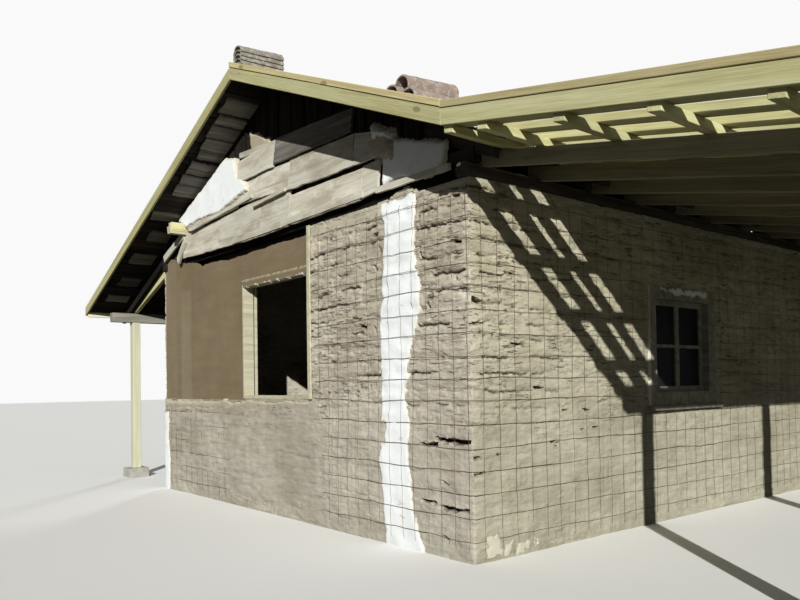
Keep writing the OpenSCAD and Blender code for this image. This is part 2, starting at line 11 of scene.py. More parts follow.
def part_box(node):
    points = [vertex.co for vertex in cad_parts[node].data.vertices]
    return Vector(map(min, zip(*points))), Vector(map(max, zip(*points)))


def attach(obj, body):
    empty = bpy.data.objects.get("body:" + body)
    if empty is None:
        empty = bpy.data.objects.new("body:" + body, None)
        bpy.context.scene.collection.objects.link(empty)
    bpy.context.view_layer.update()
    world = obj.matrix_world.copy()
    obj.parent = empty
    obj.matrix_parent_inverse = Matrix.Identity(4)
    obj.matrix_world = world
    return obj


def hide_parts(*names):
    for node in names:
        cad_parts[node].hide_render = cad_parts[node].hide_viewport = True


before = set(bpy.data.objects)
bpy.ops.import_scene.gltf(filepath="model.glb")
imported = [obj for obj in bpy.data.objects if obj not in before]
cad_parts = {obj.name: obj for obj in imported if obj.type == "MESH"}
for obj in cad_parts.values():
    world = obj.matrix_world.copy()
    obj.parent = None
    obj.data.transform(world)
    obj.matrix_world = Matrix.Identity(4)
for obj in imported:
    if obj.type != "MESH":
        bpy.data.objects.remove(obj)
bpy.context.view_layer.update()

# Sizes taken from the frame, in metres
FRONT_LO, FRONT_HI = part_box("front_gable_wall")
# the near corner of the walls: x runs left of it as negative, y runs along the house
CX = FRONT_HI.x
CY = FRONT_LO.y
GABLE_W = FRONT_HI.x - FRONT_LO.x
HOUSE_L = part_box("back_gable_wall")[1].y - CY
WALL_T = FRONT_HI.y - FRONT_LO.y
WALL_H = FRONT_HI.z
FOOT_H = FRONT_LO.z
CORNER_R = 0.018
# thickness of the panel round the gable windows
PANEL_T = 0.15
# play in comparing places
NEAR = 0.001


def relative(node):
    """A node's lowest and highest corner, from the near corner of the walls."""
    return [(corner.x - CX, corner.y - CY, corner.z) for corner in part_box(node)]


# window and door holes, from their timber linings
GWIN = relative("gable_window_linings")
SWIN = relative("side_window_linings")
DOOR = relative("doorway_lining")
PLASTER = relative("gable_plaster")


# Noise and small maths

def hash01(ix, iy, seed):
    """A fixed number from 0 to 1 for each pair of whole numbers."""
    h = (ix.astype(np.int64) * 374761393 + iy.astype(np.int64) * 668265263 + seed * 974634777) & 0xFFFFFFFF
    h = ((h ^ (h >> 13)) * 1274126177) & 0xFFFFFFFF
    return ((h ^ (h >> 16)) & 0xFFFF) / 65535.0


def chance(seed, k):
    """One fixed number from 0 to 1."""
    return float(hash01(np.array(seed), np.array(k), 3))


def noise(x, y, seed=0):
    """Smooth value noise from -1 to 1."""
    x, y = np.broadcast_arrays(np.asarray(x, float), np.asarray(y, float))
    ix, iy = np.floor(x), np.floor(y)
    fx, fy = x - ix, y - iy
    ux, uy = fx * fx * (3 - 2 * fx), fy * fy * (3 - 2 * fy)
    a = hash01(ix, iy, seed) * (1 - ux) + hash01(ix + 1, iy, seed) * ux
    b = hash01(ix, iy + 1, seed) * (1 - ux) + hash01(ix + 1, iy + 1, seed) * ux
    return 2 * (a * (1 - uy) + b * uy) - 1


def fbm(x, y, seed, octaves=4, gain=0.5):
    """Several layers of noise, each twice as fine as the last."""
    total, amp, norm = 0.0, 1.0, 0.0
    for k in range(octaves):
        total = total + amp * noise(x * 2 ** k, y * 2 ** k, seed + 31 * k)
        norm += amp
        amp *= gain
    return total / norm


def smooth(x, a, b):
    """0 at a, 1 at b, smooth between."""
    t = np.clip((np.asarray(x, float) - a) / (b - a), 0, 1)
    return t * t * (3 - 2 * t)


def between(values, lo, hi):
    """Which values lie between two others."""
    return (values > lo) & (values < hi)


def at(x, y, z):
    """Points given from the near corner of the walls, as numbers or as grids."""
    return np.stack(np.broadcast_arrays(CX + x, CY + y, z), -1)


def fine(step, quick_step):
    return step


def marks(lo, hi, steps, *stops):
    """Evenly spaced values from lo to hi that hit every stop; steps are the fine and the quick one."""
    ends = sorted({lo, hi, *[v for v in stops if lo < v < hi]})
    out = []
    for a, b in zip(ends, ends[1:]):
        n = max(1, int(round((b - a) / fine(*steps))))
        out.extend(np.linspace(a, b, n + 1)[:-1])
    return np.array([*out, ends[-1]])


def grain_shift(seed):
    """Moves the grain from board to board, so that no two look alike."""
    return np.array([seed * 7.31 % 50, seed * 3.77 % 50, seed * 5.13 % 50])


# Mesh building

def make_object(name, verts, faces, mats, mat_index=None, attrs=None):
    """A mesh object in the scene; attrs are its values point by point."""
    mesh = bpy.data.meshes.new(name)
    mesh.from_pydata([tuple(v) for v in np.asarray(verts).tolist()], [], faces)
    if mat_index is not None:
        mesh.polygons.foreach_set("material_index", np.asarray(mat_index, np.int32))
    for key, values in (attrs or {}).items():
        values = np.asarray(values, np.float32)
        if values.ndim == 1:
            mesh.attributes.new(key, "FLOAT", "POINT").data.foreach_set("value", values)
        else:
            mesh.attributes.new(key, "FLOAT_VECTOR", "POINT").data.foreach_set("vector", values.ravel())
    mesh.update()
    for m in mats:
        mesh.materials.append(m)
    obj = bpy.data.objects.new(name, mesh)
    bpy.context.scene.collection.objects.link(obj)
    return obj


def soften(obj, degrees):
    """Smooth shading up to an angle."""
    obj.data.polygons.foreach_set("use_smooth", np.ones(len(obj.data.polygons), bool))
    obj.data.set_sharp_from_angle(angle=math.radians(degrees))


def settle(obj, *nodes):
    """Tie a piece to the house, in place of the named nodes."""
    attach(obj, "root")
    for node in nodes:
        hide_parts(node)
    return obj


class Builder:
    """Gathers closed shapes into one mesh, with their attributes."""

    def __init__(self):
        self.verts = []
        self.faces = []
        self.mats = []
        self.attrs = {"tone": [], "cav": [], "grain": []}
        self.count = 0

    def add(self, verts, faces, tone=0.5, cav=0.0, grain=None, mat=0, mirror=False):
        """Adds a shape, or its mirror image on the back gable."""
        verts = np.array(verts, float)
        n = len(verts)
        if mirror:
            verts[:, 1] = 2 * CY + HOUSE_L - verts[:, 1]
            faces = [f[::-1] for f in faces]
        self.verts.append(verts)
        self.faces.extend(tuple(i + self.count for i in f) for f in faces)
        self.mats.extend([mat] * len(faces))
        self.attrs["tone"].append(np.broadcast_to(tone, n))
        self.attrs["cav"].append(np.broadcast_to(cav, n))
        self.attrs["grain"].append(verts if grain is None else grain)
        self.count += n

    def place(self, name, mats, degrees=0, *nodes):
        """Makes the gathered mesh a piece, smooth up to an angle, in place of the named nodes."""
        attrs = {k: np.concatenate(v) for k, v in self.attrs.items()}
        mats = [M[mat] for mat in mats]
        obj = make_object(name, np.concatenate(self.verts), self.faces, mats, self.mats, attrs)
        if degrees:
            soften(obj, degrees)
        settle(obj, *nodes)


def slab(front, offset):
    """Closed shape: a front grid of points (n, m, 3) and a plain back, moved by offset."""
    n, m, _ = front.shape
    count = n * m
    grid = np.arange(count).reshape(n, m)
    edge = np.concatenate([grid[:, 0], grid[-1, 1:], grid[-2::-1, -1], grid[0, -2:0:-1]]).tolist()
    faces = [(a, a + m, a + m + 1, a + 1) for a in grid[:-1, :-1].ravel().tolist()]
    for i in range(len(edge)):
        j = (i + 1) % len(edge)
        faces.append((edge[j], edge[i], count + i, count + j))
    faces.append(tuple(count + i for i in reversed(range(len(edge)))))
    flat = front.reshape(-1, 3)
    return np.concatenate([flat, flat[edge] + offset]), faces


def plate(builder, quad, thick, seed, cell, jag, warp, upright=False, mat=0, mirror=False):
    """A worn board over four corners: low left, low right, high right, high left as seen from its face.

    jag roughens its low, high, left and right edges; the grain runs along it, or up it when upright.
    """
    a, b, c, d = (np.array(p, float) for p in quad)
    length = np.linalg.norm(b - a)
    height = np.linalg.norm(d - a)
    n = max(3, int(length / cell) + 1)
    m = max(3, int(height / cell) + 1)
    u, v = np.meshgrid(np.linspace(0, 1, n), np.linspace(0, 1, m), indexing="ij")
    low, high, left, right = jag
    along, up = u * length, v * height
    du = (1 - u) * left * noise(up / 0.03, seed, seed + 1) + u * right * noise(up / 0.03, seed, seed + 2)
    dv = (1 - v) * low * fbm(along / 0.12, seed, seed + 3, 3)
    dv = dv + v * high * fbm(along / 0.12, seed, seed + 4, 3)
    s = (u + du / length)[..., None]
    t = (v + dv / height)[..., None]
    points = (1 - s) * (1 - t) * a + s * (1 - t) * b + s * t * c + (1 - s) * t * d
    thick = np.array(thick, float)
    out = -thick / np.linalg.norm(thick)
    points = points + (warp * fbm(along / 0.5, up / 0.3 + seed, seed + 5, 2))[..., None] * out
    verts, faces = slab(points, thick)
    grain = np.zeros((len(verts), 3))
    run, cross = (up, along) if upright else (along, up)
    grain[:n * m, 0] = run.ravel()
    grain[:n * m, 1] = cross.ravel()
    builder.add(verts, faces, chance(seed, 7), grain=grain + grain_shift(seed), mat=mat, mirror=mirror)


def sheet(front, back, keep, rows=None):
    """Closed mesh between two grids of points, over the kept cells; its back has the given rows, or all.

    It also says which points are used, counted through the front and then the back.
    """
    n, m, _ = front.shape
    count = n * m
    faces = []
    for i, j in np.argwhere(keep).tolist():
        a = i * m + j
        corners = (a, a + m, a + m + 1, a + 1)
        faces.append(corners)
        for k, (p, q) in enumerate(((i, j - 1), (i + 1, j), (i, j + 1), (i - 1, j))):
            if not (0 <= p < n - 1 and 0 <= q < m - 1 and keep[p, q]):
                b, c = corners[k], corners[(k + 1) % 4]
                faces.append((c, b, count + b, count + c))
    apart = np.abs(np.diff(back, axis=0)).sum(-1) > 1e-6
    rows = rows or range(m)
    for i in range(n - 1):
        a, b = count + i * m, count + (i + 1) * m
        for low, high in zip(rows, rows[1:]):
            if keep[i, low] and apart[i, low]:
                faces.append((a + low, a + high, b + high, b + low))
    used, flat = np.unique(np.array(faces), return_inverse=True)
    verts = np.concatenate([front.reshape(-1, 3), back.reshape(-1, 3)])[used]
    return verts, flat.reshape(-1, 4).tolist(), used


def segment_distance(x, z, x0, z0, x1, z1):
    """Distance to a stretch of line."""
    dx, dz = x1 - x0, z1 - z0
    t = np.clip(((x - x0) * dx + (z - z0) * dz) / (dx * dx + dz * dz), 0, 1)
    return np.hypot(x - x0 - t * dx, z - z0 - t * dz)


def inside_distance(x, z, points):
    """Distance to an outline, positive inside it."""
    best = np.full(x.shape, 9.0)
    inside = np.zeros(x.shape, bool)
    for (x0, z0), (x1, z1) in zip(points, points[1:] + points[:1]):
        best = np.minimum(best, segment_distance(x, z, x0, z0, x1, z1))
        if z1 != z0:
            crosses = (z0 > z) != (z1 > z)
            inside ^= crosses & (x < x0 + (z - z0) * (x1 - x0) / (z1 - z0))
    return np.where(inside, best, -best)


def tube(builder, path, radius):
    """A thin closed wire, four-sided, along the points of a path."""
    way = np.gradient(path, axis=0)
    way /= np.linalg.norm(way, axis=1)[:, None]
    ref = [0.0, 0.0, 1.0] if np.abs(way[:, 2]).mean() < 0.7 else [0.8, 0.6, 0.0]
    u = np.cross(way, ref)
    u /= np.linalg.norm(u, axis=1)[:, None]
    v = np.cross(way, u)
    verts = np.stack([path + radius * side for side in (u, v, -u, -v)], 1).reshape(-1, 3)
    last = len(verts) - 4
    faces = [(0, 1, 2, 3), (last + 3, last + 2, last + 1, last)]
    for i in range(0, last, 4):
        for j, k in ((0, 1), (1, 2), (2, 3), (3, 0)):
            faces.append((i + k, i + j, i + 4 + j, i + 4 + k))
    builder.add(verts, faces)


def islands(bm):
    """Groups of joined vertices."""
    seen = set()
    out = []
    for v in bm.verts:
        if v in seen:
            continue
        group = []
        stack = [v]
        seen.add(v)
        while stack:
            a = stack.pop()
            group.append(a)
            for e in a.link_edges:
                b = e.other_vert(a)
                if b not in seen:
                    seen.add(b)
                    stack.append(b)
        out.append(group)
    return out


# welding distance of a node's points, and angles between faces: one face below FLAT, an edge above SHARP
WELD = 2e-5
FLAT = 0.02
SHARP = 0.6


def node_mesh(node, bevel, keep=None):
    """A node's mesh with eased edges; keep picks its solids by their middle."""
    bm = bmesh.new()
    bm.from_mesh(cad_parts[node].data)
    bmesh.ops.remove_doubles(bm, verts=bm.verts, dist=WELD)
    if keep is not None:
        for group in islands(bm):
            middle = sum((v.co for v in group), Vector()) / len(group)
            if not keep(middle):
                bmesh.ops.delete(bm, geom=group, context="VERTS")
    bmesh.ops.dissolve_limit(bm, angle_limit=FLAT, verts=bm.verts, edges=bm.edges)
    if bevel:
        sharp = [e for e in bm.edges if len(e.link_faces) == 2 and e.calc_face_angle(0) > SHARP]
        bmesh.ops.bevel(bm, geom=sharp, offset=bevel, offset_type="OFFSET", segments=1, profile=0.5,
                        affect="EDGES", clamp_overlap=True)
    return bm


def cut_up(bm, node, axis, step):
    """Cuts a mesh across one axis, so that its faces are short enough to be worn."""
    lo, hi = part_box(node)
    normal = np.eye(3)[axis]
    for i in range(int((hi[axis] - lo[axis]) / step)):
        place = normal * (lo[axis] + (i + 0.5) * step)
        parts = bm.verts[:] + bm.edges[:] + bm.faces[:]
        bmesh.ops.bisect_plane(bm, geom=parts, dist=1e-6, plane_co=tuple(place), plane_no=tuple(normal))
    bm.verts.ensure_lookup_table()
    bm.verts.index_update()


def worn_copy(node, bm, verts, tone, grain, mat):
    """A worn mesh in the place of its node, held inside the node's box."""
    faces = [tuple(v.index for v in f.verts) for f in bm.faces]
    bm.free()
    attrs = {"tone": tone, "cav": np.zeros(len(verts)), "grain": grain}
    obj = make_object(node + "_worn", np.clip(verts, *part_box(node)), faces, [M[mat]], attrs=attrs)
    return settle(obj, node)


def dress(node, mat, axis, stretch, warp, wear, seed, bevel=0.003, keep=None):
    """Worn copies of a node's boards: edges eased, lengths cut into short stretches, bent a little."""
    bm = node_mesh(node, bevel, keep)
    cut_up(bm, node, axis, stretch)
    groups = [[v.index for v in g] for g in islands(bm)]
    pos = np.array([v.co[:] for v in bm.verts])
    new = pos.copy()
    tone = np.zeros(len(pos))
    grain = np.zeros_like(pos)
    for k, g in enumerate(sorted(groups, key=lambda g: tuple(np.round(pos[g].mean(0), 3)))):
        p = pos[g]
        mid = p.mean(0)
        _, _, axes = np.linalg.svd(p - mid, full_matrices=False)
        local = (p - mid) @ axes.T
        s = seed * 101 + k * 17
        half = np.abs(local).max(0)
        d = local[:, 0]
        rub = wear * (1 + noise(d / 0.06, local[:, 1] * 30 + s, s + 5)) * 0.5
        moved = local.copy()
        bend = warp * fbm(d / 0.8, s * 0.37, s, 2) * half[1] / (half[1] + 0.02)
        moved[:, 1] += bend - np.sign(local[:, 1]) * rub
        moved[:, 2] += 0.6 * warp * fbm(d / 1.1, s * 0.53, s + 3, 2) - np.sign(local[:, 2]) * rub * 0.5
        new[g] = mid + moved @ axes
        tone[g] = chance(s, 1)
        grain[g] = local + grain_shift(s)
    worn_copy(node, bm, new, tone, grain, mat)


def ease(node, mat, cut, amp, scale, seed):
    """A worn copy of a node of any shape: edges eased, faces cut up and roughened."""
    bm = node_mesh(node, 0.002)
    for axis in range(3):
        cut_up(bm, node, axis, cut)
    pos = np.array([v.co[:] for v in bm.verts])
    x, y, z = pos.T
    rough = [fbm((x + 0.7 * z) / scale, (y - 0.6 * z) / scale, seed + k, 2) for k in range(3)]
    lo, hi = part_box(node)
    # the grain runs along the longest side
    grain = np.roll(pos, -int(np.argmax(hi - lo)), axis=1)
    tone = 0.5 + 0.5 * noise(x / 0.4, (y + z) / 0.4, seed + 9)
    soften(worn_copy(node, bm, pos + amp * np.stack(rough, -1), tone, grain, mat), 30)


# Materials

class Nodes:
    """Short ways to build a node tree."""

    def __init__(self, tree):
        self.tree = tree

    def feed(self, socket, value):
        """Links a socket, or sets its value on the socket itself."""
        if isinstance(value, bpy.types.NodeSocket):
            self.tree.links.new(value, socket)
        elif socket.type == "RGBA":
            socket.default_value = (*value, 1)
        else:
            socket.default_value = value

    def node(self, kind, out=0, inputs=None, **props):
        """Adds a node and gives one of its outputs."""
        node = self.tree.nodes.new("ShaderNode" + kind)
        for key, value in props.items():
            setattr(node, key, value)
        for key, value in (inputs or {}).items():
            self.feed(node.inputs[key], value)
        return node.outputs[out]

    def maths(self, op, a, b, clamp=False):
        """A sum, product or the like of two values."""
        return self.node("Math", 0, {0: a, 1: b}, operation=op, use_clamp=clamp)


class Paint(Nodes):
    """A material, built up from a colour and a height."""

    def __init__(self, name, rough, specular, metallic=0.0):
        self.mat = bpy.data.materials.new(name)
        self.mat.use_nodes = True
        super().__init__(self.mat.node_tree)
        self.surface = self.tree.nodes["Principled BSDF"].inputs
        self.surface["Roughness"].default_value = rough
        self.surface["Specular IOR Level"].default_value = specular
        self.surface["Metallic"].default_value = metallic

    def attr(self, name, out="Fac"):
        """An attribute of the mesh."""
        return self.node("Attribute", out, attribute_name=name)

    def geometry(self, out="Position"):
        """The place of a point, or its normal."""
        return self.node("NewGeometry", out)

    def upward(self, vector):
        """The vertical part of a vector."""
        return self.node("SeparateXYZ", "Z", {0: vector})

    def scaled(self, vector, scale):
        """A vector stretched by a number for each axis."""
        return self.node("Mapping", "Vector", {"Vector": vector, "Scale": scale})

    def noise(self, vector, scale, detail=4.0, rough=0.55, distortion=0.0):
        """Noise at one scale, or at a scale for each axis."""
        if not np.isscalar(scale):
            vector, scale = self.scaled(vector, scale), 1.0
        return self.node("TexNoise", "Fac", {"Vector": vector, "Scale": scale, "Detail": detail,
                                             "Roughness": rough, "Distortion": distortion})

    def ramp(self, fac, *stops):
        """Colours or grey levels over a value, given as pairs of place and colour."""
        node = self.tree.nodes.new("ShaderNodeValToRGB")
        elements = node.color_ramp.elements
        while len(elements) < len(stops):
            elements.new(0.5)
        for element, (place, colour) in zip(elements, stops):
            element.position = place
            element.color = (*np.broadcast_to(colour, 3), 1)
        self.feed(node.inputs["Fac"], fac)
        return node.outputs["Color"]

    def rise(self, fac, a, b, low=0.0, high=1.0):
        """From low at a to high at b."""
        return self.ramp(fac, (a, low), (b, high))

    def vary(self, amount, colour, fac, low, high):
        """Lightens and darkens a colour over a noise, from the grey low to the grey high."""
        return self.mix(amount, colour, self.rise(fac, 0.3, 0.7, low, high), "OVERLAY")

    def mix(self, fac, a, b, mode="MIX"):
        """Colour b laid over a."""
        return self.node("Mix", 2, {0: fac, 6: a, 7: b}, data_type="RGBA", blend_type=mode)

    def finish(self, colour, height=None, strength=0.5, distance=0.004):
        """Sets the colour and the bump, and gives the material."""
        self.feed(self.surface["Base Color"], colour)
        if height is not None:
            bump = {"Strength": strength, "Distance": distance, "Height": height}
            self.feed(self.surface["Normal"], self.node("Bump", "Normal", bump))
        return self.mat


def darker(colour, k):
    """A colour times a number, or times one for each part."""
    return tuple(np.multiply(colour, k))


def adobe_material(name, pale, mid, dark, crack):
    """Straw-laden mud: pale dust on worn faces, short washed-out streaks, darker in the cracks, where the
    colour crack is painted shade.
    """
    s = Paint(name, 0.95, 0.15)
    p = s.geometry()
    height = s.maths("MULTIPLY", s.upward(p), 0.4)
    col = s.ramp(s.noise(p, (1.3, 1.3, 2.0), 3), (0.3, dark), (0.5, mid), (0.68, pale))
    # the side walls are yellower, the foot of every wall duller, and damp has left blots
    col = s.mix(s.attr("tone"), col, (0.87, 0.89, 0.81), "MULTIPLY")
    col = s.mix(s.rise(height, 0.30, 0.80, 1.0, 0.0), col, (0.82, 0.83, 0.85), "MULTIPLY")
    blot = s.rise(s.noise(p, (8.0, 8.0, 11.0), 6, 0.68), 0.46, 0.64, high=0.3)
    col = s.mix(blot, col, darker(dark, 0.7))
    layer = s.noise(p, (5.0, 5.0, 30.0), 5, 0.6)
    col = s.mix(0.35, col, s.ramp(layer, (0.3, 0.28), (0.52, 0.52), (0.72, 0.68)), "OVERLAY")
    col = s.vary(0.3, col, s.noise(p, 120.0, 3, 0.7), 0.22, 0.78)
    straw = s.noise(p, (60.0, 60.0, 210.0), 2)
    col = s.mix(s.rise(straw, 0.66, 0.74, high=0.5), col, (0.66, 0.60, 0.44))
    # washed-out lines, long and short, on the upper part and in places: grooves darkened with painted shade
    broad = s.rise(s.noise(p, (7.0, 7.0, 58.0), 4, 0.6, 0.5), 0.60, 0.65)
    short = s.rise(s.noise(p, (17.0, 17.0, 95.0), 4, 0.65, 0.7), 0.60, 0.66)
    where = s.rise(s.noise(p, 3.4, 3), 0.40, 0.58)
    upper = s.rise(height, 0.26, 0.46, 0.12)
    streaks = s.maths("MULTIPLY", s.maths("MULTIPLY", s.maths("MAXIMUM", broad, short), where), upper)
    col = s.mix(s.maths("MULTIPLY", streaks, 0.85), col, darker(crack, 2.2))
    # painted shade in cracks, pits and openings, by the mesh attribute
    col = s.mix(s.maths("MULTIPLY", s.attr("cav"), 1.0, True), col, crack)
    rough = s.mix(0.5, s.noise(p, 55.0, 6, 0.7), layer)
    return s.finish(col, s.mix(streaks, rough, (0.0, 0.0, 0.0)), 1.0, 0.006)


def plaster_material(name, a, b, pale):
    """Smooth mud plaster with faint trowel marks and pale worn places."""
    s = Paint(name, 0.92, 0.2)
    p = s.geometry()
    col = s.rise(s.noise(p, (1.6, 1.6, 0.9)), 0.32, 0.68, a, b)
    trowel = s.noise(p, (3.0, 3.0, 14.0), distortion=0.5)
    col = s.vary(0.3, col, trowel, 0.35, 0.62)
    return s.finish(s.mix(s.attr("cav"), col, pale), s.mix(0.5, s.noise(p, 180.0, 3), trowel), 0.4)


def wood_material(name, dark, mid, pale, knots=0.0, crack=0.0, fibre=0.25, rough=0.8, specular=0.25,
                  tone_span=0.35, stain=0.0, smear=0.0, top=None):
    """Sawn timber: grain along each board, a tone of its own, knots, cracks, damp stains or lime smears.

    Faces turned up take the colour top; where top is given, the other colours are painted shade for the faces
    turned down.
    """
    s = Paint(name, rough, specular)
    g = s.attr("grain", "Vector")
    rings = s.noise(g, (0.7, 16.0, 16.0), 3, distortion=0.8)
    col = s.ramp(rings, (0.28, dark), (0.5, mid), (0.72, pale))
    # painted shade: faces turned down keep the darker given colours, faces turned up take top
    if top:
        unshaded_top_col = s.ramp(rings, (0.28, darker(top, 0.65)), (0.5, top), (0.72, darker(top, 1.35)))
        col = s.mix(s.rise(s.upward(s.geometry("Normal")), 0.3, 0.6), col, unshaded_top_col)
    fibres = s.noise(g, (5.0, 170.0, 170.0), 3)
    col = s.vary(fibre, col, fibres, 0.2, 0.8)
    height = fibres
    if knots:
        cells = s.node("TexVoronoi", "Distance", {"Vector": s.scaled(g, (2.2, 5.0, 5.0)), "Scale": 1.0})
        spot = s.ramp(cells, (0.02, knots), (0.085, 0.75 * knots), (0.12, 0.0))
        col = s.mix(spot, col, darker(dark, (0.45, 0.36, 0.3)))
    if crack:
        split = s.noise(g, (1.6, 60.0, 60.0), 2, distortion=0.4)
        col = s.mix(s.rise(split, 0.30, 0.36, crack, 0.0), col, darker(dark, 0.3))
        height = s.mix(0.5, fibres, s.rise(split, 0.30, 0.40))
    if stain:
        damp = s.rise(s.noise(g, (2.2, 7.0, 7.0), 4, 0.6), 0.48, 0.66, high=stain)
        col = s.mix(damp, col, darker(dark, (0.55, 0.46, 0.36)))
    if smear:
        wiped = s.rise(s.noise(g, (5.0, 9.0, 9.0), 5, 0.7), 0.56, 0.66, high=smear)
        col = s.mix(wiped, col, (0.70, 0.69, 0.61))
    tone = s.node("Math", 0, {0: s.attr("tone"), 1: tone_span, 2: 1.0 - tone_span / 2},
                  operation="MULTIPLY_ADD")
    col = s.node("HueSaturation", 0, {"Value": tone, "Color": col})
    return s.finish(s.mix(s.attr("cav"), col, darker(dark, 0.35)), height, 0.5, 0.0025)


def lime_material(name, white, stain, mud):
    """Lime render, flaked in places down to the mud."""
    s = Paint(name, 0.9, 0.2)
    p = s.geometry()
    col = s.rise(s.noise(p, 5.0, 5, 0.6), 0.3, 0.75, white, stain)
    flaked = s.rise(s.noise(p, (7.0, 7.0, 16.0), 5, 0.65), 0.64, 0.72, high=0.7)
    col = s.mix(s.attr("cav"), s.mix(flaked, col, mud), mud)
    return s.finish(col, s.noise(p, 60.0, 5, 0.65), 0.4)


def stone_material(name, pale, dark):
    """Concrete with grit."""
    s = Paint(name, 0.93, 0.2)
    p = s.geometry()
    col = s.rise(s.noise(p, 9.0, 5, 0.6), 0.3, 0.7, dark, pale)
    col = s.vary(0.4, col, s.noise(p, 120.0, 3), 0.25, 0.75)
    return s.finish(col, s.noise(p, 45.0, 6, 0.7), 0.8, 0.008)


def clay_material(name, a, b, lichen):
    """Old fired clay with lichen."""
    s = Paint(name, 0.88, 0.25)
    p = s.geometry()
    col = s.rise(s.noise(p, 11.0, 5, 0.6), 0.3, 0.7, a, b)
    col = s.mix(s.rise(s.noise(p, 28.0, 4, 0.7), 0.50, 0.60, high=0.85), col, lichen)
    return s.finish(col, s.noise(p, 110.0, 5), 0.6)


def wire_material(name):
    """Rusty fence wire."""
    s = Paint(name, 0.7, 0.3, 0.2)
    p = s.geometry()
    rust = s.rise(s.noise(p, 30.0, 3), 0.35, 0.65, (0.08, 0.058, 0.04), (0.19, 0.125, 0.08))
    return s.finish(rust, s.noise(p, 400.0, 2), 0.4, 0.001)


def glass_material(name):
    """Dusty panes, painted near black as painted shade for the dark room behind them."""
    s = Paint(name, 0.55, 0.03)
    dust = s.noise(s.geometry(), 3.0, 3)
    return s.finish(s.rise(dust, 0.3, 0.7, (0.006, 0.007, 0.008), (0.016, 0.019, 0.021)))


# colour of old boards on faces turned up, clear of the painted shade of their other faces, and what the
# shade-dark materials share
UNSHADED_TOP = (0.20, 0.175, 0.145)
SHADE_DARK_WOOD = {"crack": 0.8, "fibre": 0.4, "rough": 0.95, "tone_span": 0.6}

M = {
    # the last adobe colour, crack, is painted shade for cracks, openings and washed-out grooves
    "adobe": adobe_material("adobe", (0.62, 0.575, 0.47), (0.54, 0.495, 0.40), (0.43, 0.388, 0.30),
                            (0.040, 0.032, 0.024)),
    "plaster": plaster_material("mud_plaster", (0.175, 0.132, 0.078), (0.215, 0.167, 0.103),
                                (0.33, 0.29, 0.20)),
    "mud": plaster_material("dry_mud", (0.36, 0.315, 0.225), (0.46, 0.42, 0.31), (0.55, 0.51, 0.40)),
    "lime": lime_material("lime_render", (0.90, 0.94, 0.95), (0.84, 0.87, 0.86), (0.50, 0.45, 0.33)),
    "dusty": lime_material("dusty_lime", (0.58, 0.565, 0.44), (0.52, 0.505, 0.39), (0.42, 0.39, 0.30)),
    "pine": wood_material("new_pine", (0.42, 0.38, 0.18), (0.51, 0.495, 0.26), (0.58, 0.565, 0.34),
                          knots=0.8),
    "strip": wood_material("resinous_pine", (0.37, 0.30, 0.15), (0.46, 0.40, 0.21), (0.53, 0.48, 0.28),
                           knots=0.7),
    "pine_pale": wood_material("pale_post_pine", (0.58, 0.55, 0.38), (0.69, 0.68, 0.49), (0.74, 0.73, 0.56),
                               knots=0.6),
    # painted shade: new pine darkened for the porch rafters and beam that lie in the porch's shade
    "pine_shade_dark": wood_material("pine_painted_shade", (0.17, 0.150, 0.10), (0.25, 0.225, 0.155),
                               (0.32, 0.29, 0.21), knots=0.5, crack=0.3),
    # painted shade: old boards in dark colours for their shaded undersides, lighter only on faces turned up
    "old": wood_material("old_boards", (0.030, 0.025, 0.021), (0.060, 0.050, 0.042), (0.10, 0.087, 0.074),
                         crack=0.8, fibre=0.4, rough=0.9, specular=0.1, tone_span=0.8, top=UNSHADED_TOP),
    # painted shade: near-black boards for the timbers that lie in shade, lighter only on faces turned up
    "dark": wood_material("painted_shade_boards", (0.014, 0.012, 0.011), (0.026, 0.022, 0.019),
                          (0.045, 0.039, 0.034), specular=0.03, top=UNSHADED_TOP, **SHADE_DARK_WOOD),
    # painted shade: black for beams that lie in deep shade under the boards and the eaves
    "painted_shade_black": wood_material("painted_shade_beams", (0.005, 0.0045, 0.004), (0.011, 0.010, 0.009),
                          (0.020, 0.018, 0.016), specular=0.02, **SHADE_DARK_WOOD),
    "verge": wood_material("verge_boards", (0.085, 0.078, 0.066), (0.16, 0.148, 0.127), (0.27, 0.25, 0.215),
                           crack=0.9, fibre=0.35, rough=0.9, tone_span=1.0),
    "grey": wood_material("grey_boards", (0.44, 0.405, 0.32), (0.55, 0.53, 0.44), (0.63, 0.615, 0.53),
                          crack=0.35, fibre=0.15, rough=0.9, tone_span=0.2, stain=0.55, smear=0.6),
    "cream": wood_material("window_timber", (0.40, 0.365, 0.25), (0.49, 0.465, 0.335), (0.56, 0.54, 0.41),
                           crack=0.2),
    "frame": wood_material("side_window_timber", (0.18, 0.17, 0.135), (0.28, 0.27, 0.22), (0.38, 0.37, 0.31),
                           crack=0.4),
    "stone": stone_material("concrete", (0.52, 0.51, 0.45), (0.35, 0.34, 0.30)),
    "clay": clay_material("fired_clay", (0.235, 0.175, 0.145), (0.345, 0.275, 0.235), (0.40, 0.385, 0.335)),
    "clay_grey": clay_material("lichened_clay", (0.19, 0.165, 0.135), (0.29, 0.265, 0.225),
                               (0.40, 0.40, 0.345)),
    "wire": wire_material("rusty_wire"),
    "glass": glass_material("glass_painted_room_shade"),
}


# Camera, light and floor

# viewing point of the photograph, its angles in degrees, and its lens
EYE = (3.424, -3.416, 1.177)
YAW, PITCH, ROLL = 50.549, 1.138, -0.838
LENS, SHIFT = 33.6, 0.0852
# lamps: name, strength, width in degrees, colour, azimuth from +x towards -y, and elevation
LAMPS = [("key", 4.8, 0.6, (1.0, 0.985, 0.95), 39.0, 20.5),
         ("back", 0.7, 8.0, (0.92, 0.96, 1.0), 225.0, 24.0)]
# surround: colour and strength of the light it gives, and as it is seen
SKY_LIGHT = {"Color": (0.88, 0.94, 1.0), "Strength": 0.085}
SKY_SEEN = {"Color": (0.95, 0.95, 0.95), "Strength": 1.0}
FLOOR_HALF = 60.0


